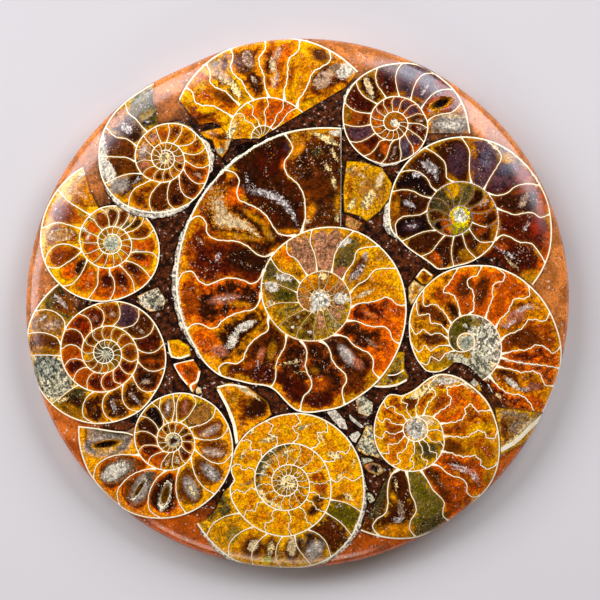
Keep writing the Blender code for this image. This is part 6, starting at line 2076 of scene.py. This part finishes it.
# %% [markdown]
# ## Materials as recipes
# Each finish is a recipe of a few nodes: noise for the cloudy zones, cells for crystal grains, and the
# painted fields to say where each belongs. A small kit keeps the recipes short. All textures are measured
# in millimetres of the plate itself, so the same grain size runs through every piece.
# %% A kit for recipes
class Recipe:
    """Adds nodes to one material. Every call returns the new node's output."""

    def __init__(self, name):
        self.material = bpy.data.materials.new(name)
        self.material.use_nodes = True
        self.tree = self.material.node_tree
        self.shader = self.tree.nodes["Principled BSDF"]
        place = self.tree.nodes.new("ShaderNodeTexCoord").outputs["Object"]
        self.mm = self.add("ShaderNodeVectorMath", {"operation": "SCALE"}, {0: place, "Scale": 1.0 / MM})

    def add(self, kind, settings, inputs, output=0):
        node = self.tree.nodes.new(kind)
        for key, value in settings.items():
            setattr(node, key, value)
        for key, value in inputs.items():
            self.feed(node.inputs[key], value)
        return node.outputs[output]

    def feed(self, socket, value):
        if isinstance(value, bpy.types.NodeSocket):
            self.tree.links.new(value, socket)
        else:
            socket.default_value = value

    def attribute(self, name, output):
        return self.add("ShaderNodeAttribute", {"attribute_name": name}, {}, output)

    def split(self, vector):
        node = self.add("ShaderNodeSeparateXYZ", {}, {0: vector}).node
        return node.outputs[0], node.outputs[1], node.outputs[2]

    def noise(self, scale, detail=3.0, roughness=0.55, distortion=0.0, at=None):
        return self.add("ShaderNodeTexNoise", {}, {
            "Vector": at or self.mm, "Scale": scale, "Detail": detail, "Roughness": roughness,
            "Distortion": distortion})

    def cells(self, scale, feature="F1", output="Color", at=None):
        return self.add("ShaderNodeTexVoronoi", {"feature": feature}, {
            "Vector": at or self.mm, "Scale": scale, "Randomness": 1.0}, output)

    def maths(self, operation, a, b=0.0, c=0.0, clamp=False):
        return self.add("ShaderNodeMath", {"operation": operation, "use_clamp": clamp}, {0: a, 1: b, 2: c})

    def ramp(self, value, start, end, low=0.0, high=1.0, smooth=True):
        kind = "SMOOTHSTEP" if smooth else "LINEAR"
        return self.add("ShaderNodeMapRange", {"interpolation_type": kind}, {
            0: value, 1: start, 2: end, 3: low, 4: high})

    def mix(self, factor, a, b):
        return self.add("ShaderNodeMix", {"data_type": "RGBA"}, {0: factor, 6: a, 7: b}, 2)

    def light(self, colour, amount):
        """A colour made lighter or darker by an amount that varies over the surface."""
        return self.add("ShaderNodeVectorMath", {"operation": "SCALE"}, {0: colour, "Scale": amount})

    def vivid(self, colour, saturation, value):
        """A colour with its saturation and its brightness raised."""
        return self.add("ShaderNodeHueSaturation", {}, {
            "Color": colour, "Saturation": saturation, "Value": value})

    def finish(self, colour, roughness, height=None, bump=0.02, ior=1.5):
        self.shader.inputs["IOR"].default_value = ior
        self.feed(self.shader.inputs["Base Color"], colour)
        self.feed(self.shader.inputs["Roughness"], roughness)
        if height is not None:
            normal = self.add("ShaderNodeBump", {}, {"Strength": 0.6, "Distance": bump * MM, "Height": height})
            self.feed(self.shader.inputs["Normal"], normal)
        return self.material


def rgba(name, share=1.0):
    """A named stone colour for a socket."""
    return (*(LINEAR[name] * share).tolist(), 1.0)


print("honey, for a socket:", [round(part, 3) for part in rgba("honey")])

# %% [markdown]
# ## Chamber crystal
# Calcite grew inwards from the chamber walls, honey and clear at first and darker with iron later, so the
# polish looks into zones, with grains, seams and flecks in them, and painted glints among the flecks. Real
# depth, as a volume or as glass, would be slow and noisy at this size, so the zones are mixed by how deep the
# painted field says the place is, and noises bend their borders.
# %% The fields and noises of the crystal
def crystal_fields(r):
    """Gives the recipe its painted fields and its noises, which every later step reads."""
    r.body, r.glow, r.heart = (r.attribute(name, "Color") for name in COLOURS)
    r.depth, r.heart_field, r.edge = r.split(r.attribute("field", "Vector"))
    r.grain, r.heart_grain, r.veil = r.split(r.attribute("texture", "Vector"))
    ray = r.attribute("ray", "Vector")
    r.cloud = r.noise(0.36, 2.5, 0.5, 0.6)
    r.patch = r.noise(0.95, 3.0, 0.55, 1.0)
    r.fine = r.noise(2.4, 4.0, 0.65, 0.3)
    r.spokes = r.noise(5.5, 3.0, 0.6, 0.4, at=ray)
    r.flames = r.noise(2.6, 2.0, 0.5, 0.6, at=ray)
    bent = r.add("ShaderNodeTexNoise", {}, {"Vector": r.mm, "Scale": 1.1, "Detail": 2.0}, "Color")
    bent = r.add("ShaderNodeVectorMath", {"operation": "ADD"}, {0: r.mm, 1: bent})
    r.facet = r.split(r.cells(1.15, at=bent))
    r.seam = r.ramp(r.cells(0.75, "DISTANCE_TO_EDGE", "Distance", at=bent), 0.0, 0.14, 0.6, 1.05)
    r.speck = r.split(r.cells(2.6))
    r.bean, r.dull, _ = r.split(r.attribute("bean", "Vector"))


print("the crystal reads the fields", list(BLANK))

# %% [markdown]
# From the wall inwards: a bright band, the glow, the body, and a nearly black middle where the calcite is
# thickest. A dark rind marks where two growths met, a golden band of painted highlight runs beside every shell
# line, and right at the walls the seam is darker.
# %% The zones of the crystal
def crystal_zones(r):
    """The chamber's colour from its walls inwards."""
    swirl = r.maths("MULTIPLY_ADD", r.cloud, 3.0, r.maths("MULTIPLY_ADD", r.patch, 1.3, -2.15))
    ripple = r.maths("MULTIPLY_ADD", r.flames, 1.2, r.maths("MULTIPLY_ADD", r.fine, 0.5, -0.85))
    swirl = r.maths("ADD", swirl, ripple)
    swirl = r.maths("MULTIPLY", swirl, r.maths("MULTIPLY_ADD", r.bean, -0.4, 1.0))
    tone = r.maths("MULTIPLY_ADD", r.maths("MINIMUM", r.depth, 1.5), 0.7, r.maths("ADD", swirl, -0.1))
    middle = r.light(r.mix(0.5, r.glow, r.body), 0.9)
    colour = r.mix(r.ramp(tone, -0.5, 0.05), r.light(r.mix(0.45, r.glow, rgba("honey")), 1.12), r.glow)
    colour = r.mix(r.ramp(tone, -0.05, 0.45), colour, middle)
    colour = r.mix(r.ramp(tone, 0.3, 0.8), colour, r.body)
    colour = r.mix(r.ramp(tone, 0.75, 1.45), colour, r.light(r.body, 0.35))
    colour = r.light(colour, r.maths("MULTIPLY", r.seam, r.maths("MULTIPLY_ADD", r.facet[0], 0.66, 0.68)))
    colour = r.light(colour, r.ramp(r.fine, 0.35, 0.65, 0.64, 1.32))
    colour = r.light(colour, r.ramp(r.speck[0], 0.0, 1.0, 0.8, 1.2, smooth=False))
    rind = r.ramp(r.maths("ABSOLUTE", r.maths("SUBTRACT", r.depth, 0.45)), 0.1, 0.5, 0.6, 0.0)
    rind = r.maths("MULTIPLY", rind, r.bean)
    colour = r.light(colour, r.maths("SUBTRACT", 1.0, rind))
    # Painted highlight: a golden band beside every shell line, for the light that comes back through the thin
    # crystal there.
    painted_line_highlight = r.maths("MULTIPLY", r.ramp(r.edge, 0.3, 0.8, 1.0, 0.0), 0.35)
    colour = r.mix(painted_line_highlight, colour, r.mix(0.5, r.glow, rgba("honey")))
    colour = r.light(colour, r.ramp(r.edge, 0.1, 0.5, 0.3, 1.0))
    return colour


print("honey, the stone in every glow:", LINEAR["honey"].round(3))

# %% [markdown]
# A heart is the pale crystal that grew last. Its edge is toothed, with fine points along the rays out of
# the chamber's middle. Frosted stones are thinner and lie as wisps.
# %% The heart of a chamber
def crystal_heart(r, colour):
    """Lays the pale heart over the zones. Returns the colour and where the heart is."""
    ragged = r.maths("MULTIPLY_ADD", r.patch, 2.4, r.maths("ADD", r.heart_field, -1.2))
    ragged = r.maths("MULTIPLY_ADD", r.fine, 1.4, r.maths("ADD", ragged, -0.7))
    toothed = r.maths("SUBTRACT", 1.0, r.veil, clamp=True)
    solid = r.maths("ABSOLUTE", r.maths("SUBTRACT", 1.0, r.veil))
    fringe = r.maths("MULTIPLY", r.ramp(ragged, -0.62, -0.3), r.maths("MULTIPLY_ADD", toothed, 0.45, 0.15))
    colour = r.mix(fringe, colour, r.light(colour, 0.22))
    teeth = r.maths("MULTIPLY", r.ramp(r.maths("MULTIPLY_ADD", r.spokes, 1.2, ragged), 0.3, 0.5), toothed)
    tooth = r.light(r.mix(0.35, r.glow, rgba("honey")), r.ramp(r.fine, 0.35, 0.65, 0.5, 1.15))
    colour = r.mix(teeth, colour, tooth)
    pale = r.light(r.heart, r.ramp(r.speck[0], 0.0, 1.0, 0.6, 1.2, smooth=False))
    streaks = r.maths("MULTIPLY", r.ramp(r.spokes, 0.52, 0.64), r.maths("MULTIPLY_ADD", toothed, 0.4, 0.2))
    pale = r.mix(streaks, pale, r.mix(0.5, r.glow, r.body))
    heart_zone = r.ramp(ragged, 0.05, 0.22)
    wisps = r.ramp(r.maths("MULTIPLY_ADD", r.spokes, 0.8, r.maths("MULTIPLY", r.fine, 0.5)), 0.6, 0.8, 0.1, 0.9)
    wisps = r.maths("MAXIMUM", wisps, r.ramp(r.facet[2], 0.72, 0.78, 0.0, 0.85))
    heart_zone = r.maths("MULTIPLY", heart_zone, r.maths("MAXIMUM", solid, wisps))
    colour = r.mix(heart_zone, colour, pale)
    return colour, heart_zone


print("frosted stones:", VEILED)

# %% [markdown]
# Last come the grain of the coarse fills, a few flecks that are partly painted glints, small pits darkened as
# painted shade, and the polish, a little duller on the grain.
# %% Grain, flecks with painted glints, pits with painted shade, and polish
CALCITE_IOR = 1.55


def crystal_material():
    """Calcite under a polish, glowing along the walls and darker inwards, with a heart in some chambers."""
    r = Recipe("chamber_crystal")
    crystal_fields(r)
    colour, heart_zone = crystal_heart(r, crystal_zones(r))
    coarse = r.add("ShaderNodeMix", {"data_type": "FLOAT"}, {0: heart_zone, 2: r.grain, 3: r.heart_grain}, 0)
    pepper = r.maths("MULTIPLY_ADD", r.facet[1], 0.75, r.maths("MULTIPLY", r.speck[1], 0.25))
    pepper = r.ramp(pepper, 0.36, 0.5, 0.08, 1.3)
    colour = r.mix(r.maths("MULTIPLY", coarse, 0.85), colour, r.light(colour, pepper))
    # Flecks: pale gold and frost specks, partly grains of the stone and partly painted glints of crystal faces.
    fleck_and_glint = r.maths("MULTIPLY", r.ramp(r.speck[2], 0.9, 0.93), r.ramp(r.flames, 0.5, 0.62))
    colour = r.mix(r.maths("MULTIPLY", fleck_and_glint, 0.6), colour, r.mix(r.speck[1], rgba("gold"), rgba("frost")))
    # Pits: small dark spots with no recess built under them, so their darkness is painted shade.
    pit_shade = r.maths("MULTIPLY", r.ramp(r.speck[0], 0.07, 0.12, 1.0, 0.0), r.ramp(r.cloud, 0.45, 0.55))
    colour = r.light(colour, r.maths("MULTIPLY_ADD", pit_shade, -0.6, 1.0))
    roughness = r.maths("MULTIPLY_ADD", coarse, 0.1, r.ramp(r.fine, 0.3, 0.7, 0.08, 0.16))
    colour = r.vivid(colour, 1.14, 1.02)
    r.feed(r.shader.inputs["Specular IOR Level"], r.maths("MULTIPLY_ADD", r.dull, -0.48, 0.5))
    height = r.maths("ADD", r.fine, r.maths("MULTIPLY", coarse, r.speck[1]))
    return r.finish(colour, roughness, height, 0.05, CALCITE_IOR)


CRYSTAL = crystal_material()
print("material:", CRYSTAL.name, "with", len(CRYSTAL.node_tree.nodes), "nodes")

# %% [markdown]
# ## Shell
# The wall and the septa are the shell itself, cream and a little pearly, and browner where iron reached
# them. It's a dull, fine-grained stone next to the calcite, so it has no clouds in depth, only two sizes of
# speckle.
# %% Shell
def shell_material():
    """Cream shell wall, browner in places, with a thin pearly streak."""
    r = Recipe("shell_wall")
    body = r.attribute("body", "Color")
    cloud = r.noise(0.35, 3.0)
    fine = r.noise(3.0, 3.0)
    colour = r.mix(r.ramp(cloud, 0.48, 0.66, 0.0, 0.25), body, rgba("bone"))
    colour = r.mix(r.ramp(r.noise(0.7, 3.0, 0.6, 0.8), 0.52, 0.7, 0.0, 0.45), colour, rgba("honey"))
    colour = r.mix(r.ramp(fine, 0.58, 0.74, 0.0, 0.4), colour, rgba("gold"))
    colour = r.light(colour, r.ramp(fine, 0.25, 0.6, 0.92, 1.15))
    return r.finish(colour, r.ramp(fine, 0.3, 0.7, 0.14, 0.26), fine, 0.02)


SHELL = shell_material()
print("material:", SHELL.name)

# %% [markdown]
# ## Sandy resin
# The binder is resin with sand stirred in. In the narrow gaps it is darkened nearly to black as painted shade
# of the pieces, and it turns brown and then terracotta towards the rim. The mesh stores how much room each
# point has, and the recipe reads it.
# %% Sandy resin
RESIN_IOR = 1.6
RIM_INNER, RIM_OUTER = 82.0, 102.0
DARK_RESIN = (*linear((24, 10, 4)).tolist(), 1.0)
BROWN_RESIN = (*linear((92, 42, 14)).tolist(), 1.0)
ORANGE_RESIN = (*linear((216, 96, 6)).tolist(), 1.0)
PINK_RESIN = (*linear((222, 130, 54)).tolist(), 1.0)


def resin_material():
    """Resin filled with sand: painted shade in the narrow gaps, then brown, then terracotta and orange at the
    rim.
    """
    r = Recipe("sandy_resin")
    x, y, _ = r.split(r.mm)
    room = r.attribute("room", "Fac")
    from_middle = r.maths("SQRT", r.maths("ADD", r.maths("MULTIPLY", x, x), r.maths("MULTIPLY", y, y)))
    cloud = r.noise(0.12, 4.0, 0.6, 0.5)
    patch = r.noise(0.45, 4.0, 0.6)
    fine = r.noise(1.3, 4.0, 0.65)
    sand = r.split(r.cells(1.9))
    rim = r.ramp(r.maths("MULTIPLY_ADD", cloud, 12.0, from_middle), RIM_INNER, RIM_OUTER)
    deep = r.mix(r.ramp(patch, 0.35, 0.65), DARK_RESIN, BROWN_RESIN)
    clay = r.mix(r.ramp(r.maths("MULTIPLY_ADD", cloud, 120.0, y), -20.0, 70.0), ORANGE_RESIN, PINK_RESIN)
    clay = r.mix(r.ramp(cloud, 0.4, 0.62), r.light(clay, 0.55), clay)
    grit = r.maths("MULTIPLY", r.ramp(fine, 0.34, 0.66, -0.5, 0.5), r.maths("MULTIPLY_ADD", rim, -0.5, 1.0))
    colour = r.light(r.mix(rim, deep, clay), r.maths("ADD", grit, 1.04))
    # Painted shade: near a fossil the resin is darkened to an eighth of its colour, as if the pieces shaded the
    # gap.
    gap = r.ramp(r.maths("MULTIPLY_ADD", fine, 0.8, room), 0.3, 1.5, 0.12, 1.0)
    colour = r.light(colour, r.maths("MAXIMUM", gap, r.maths("MULTIPLY", rim, 0.8)))
    grain = r.maths("MULTIPLY", r.ramp(sand[0], 0.9, 0.94), r.ramp(patch, 0.5, 0.62))
    colour = r.mix(r.maths("MULTIPLY", grain, 0.8), colour, rgba("bone"))
    black = r.ramp(sand[1], 0.9, 0.95)
    colour = r.mix(r.maths("MULTIPLY", black, 0.5), colour, rgba("ink", 0.5))
    return r.finish(colour, r.ramp(fine, 0.3, 0.7, 0.08, 0.18), r.maths("ADD", fine, sand[0]), 0.03, RESIN_IOR)


RESIN = resin_material()
print("materials:", [material.name for material in (CRYSTAL, SHELL, RESIN)])

# %% [markdown]
# ## Putting the plate together
# Every fossil is built from its own drawing and takes the place of its solid. The resin comes last, with a
# pocket for each one.
# %% All the solids
PLATE = plate_solid([RESIN])
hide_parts("matrix_plate")
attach(PLATE, "root")

for name, (points, corners, is_line) in FACES.items():
    piece = fossil_solid(name, points, corners, is_line, PAINTS[name], [CRYSTAL, SHELL])
    if name in SHARDS:
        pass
    else:
        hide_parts(name)
    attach(piece, "root")
print("solids built,", round(time.time() - STARTED, 1), "s since the start")

# %% [markdown]
# ## Floor, light and camera
# A polished plate is lit like a small artwork: large soft lights, placed so that their reflections stay off
# the level top and only touch the rounded edge. The camera looks straight down from far away, with a long
# lens.
# %% Floor
def floor_material():
    """A plain pale floor with a very slight unevenness."""
    r = Recipe("pale_floor")
    cloud = r.noise(0.01, 2.0)
    return r.finish(r.mix(cloud, (0.60, 0.595, 0.58, 1.0), (0.64, 0.635, 0.62, 1.0)), 0.8)


bpy.ops.mesh.primitive_plane_add(size=6.0, location=(0.0, 0.0, 0.0))
FLOOR = bpy.context.active_object
FLOOR.name = "pale_floor"
FLOOR.data.materials.append(floor_material())
print("floor:", FLOOR.name)

# %% [markdown]
# Area lights give wide, soft reflections with no hard shape. The cool ones stand behind the plate and the
# weak warm one in front of it. A sun would be simpler, but it would leave one hard bright spot on the
# shoulder.
# %% Lights
TOP = Vector((0.0, 0.0, PLATE_THICKNESS * MM))


def soft_light(name, azimuth, elevation, size, power, tint):
    """A long area light aimed at the plate. Azimuth 0 is the plate's right, 90 its far side."""
    lamp = bpy.data.lights.new(name, "AREA")
    lamp.shape = "RECTANGLE"
    lamp.size, lamp.size_y = size
    lamp.energy = power
    lamp.color = tint
    obj = bpy.data.objects.new(name, lamp)
    turn, lift = math.radians(azimuth), math.radians(elevation)
    direction = Vector((math.cos(lift) * math.cos(turn), math.cos(lift) * math.sin(turn), math.sin(lift)))
    obj.location = TOP + direction * LIGHT_DISTANCE
    obj.rotation_euler = (-direction).to_track_quat("-Z", "Y").to_euler()
    bpy.context.scene.collection.objects.link(obj)


LIGHT_DISTANCE = 1.6
COOL, WARM = (0.95, 0.92, 1.0), (1.0, 0.95, 0.86)
soft_light("light_far_left", 136.0, 35.0, (1.2, 0.9), 21.5, COOL)
soft_light("light_left", 170.0, 26.0, (0.9, 0.6), 10.0, COOL)
soft_light("light_right", 48.0, 34.0, (1.2, 0.9), 25.0, COOL)
soft_light("light_front", 262.0, 22.0, (1.3, 0.4), 6.0, WARM)

world = bpy.data.worlds.new("studio")
world.use_nodes = True
world.node_tree.nodes["Background"].inputs["Color"].default_value = (1.0, 0.98, 0.96, 1.0)
world.node_tree.nodes["Background"].inputs["Strength"].default_value = 0.04
bpy.context.scene.world = world
bpy.context.scene.view_settings.view_transform = "Standard"
print("lights:", [lamp.name for lamp in bpy.data.lights])

# %% [markdown]
# A real lens near the plate would show its side all round, so the camera stands 1.5 metres away with a long
# lens.
# %% Camera
FRAME_WIDTH = 222.7
FRAME_CENTRE = (0.93, 1.19)
CAMERA_DISTANCE = 1500.0

lens = bpy.data.cameras.new("overhead")
lens.sensor_width = 36.0
lens.lens = lens.sensor_width * CAMERA_DISTANCE / FRAME_WIDTH
camera = bpy.data.objects.new("overhead", lens)
camera.location = (FRAME_CENTRE[0] * MM, FRAME_CENTRE[1] * MM, (PLATE_THICKNESS + CAMERA_DISTANCE) * MM)
bpy.context.scene.collection.objects.link(camera)
bpy.context.scene.camera = camera
print("lens", round(lens.lens, 1), "mm")
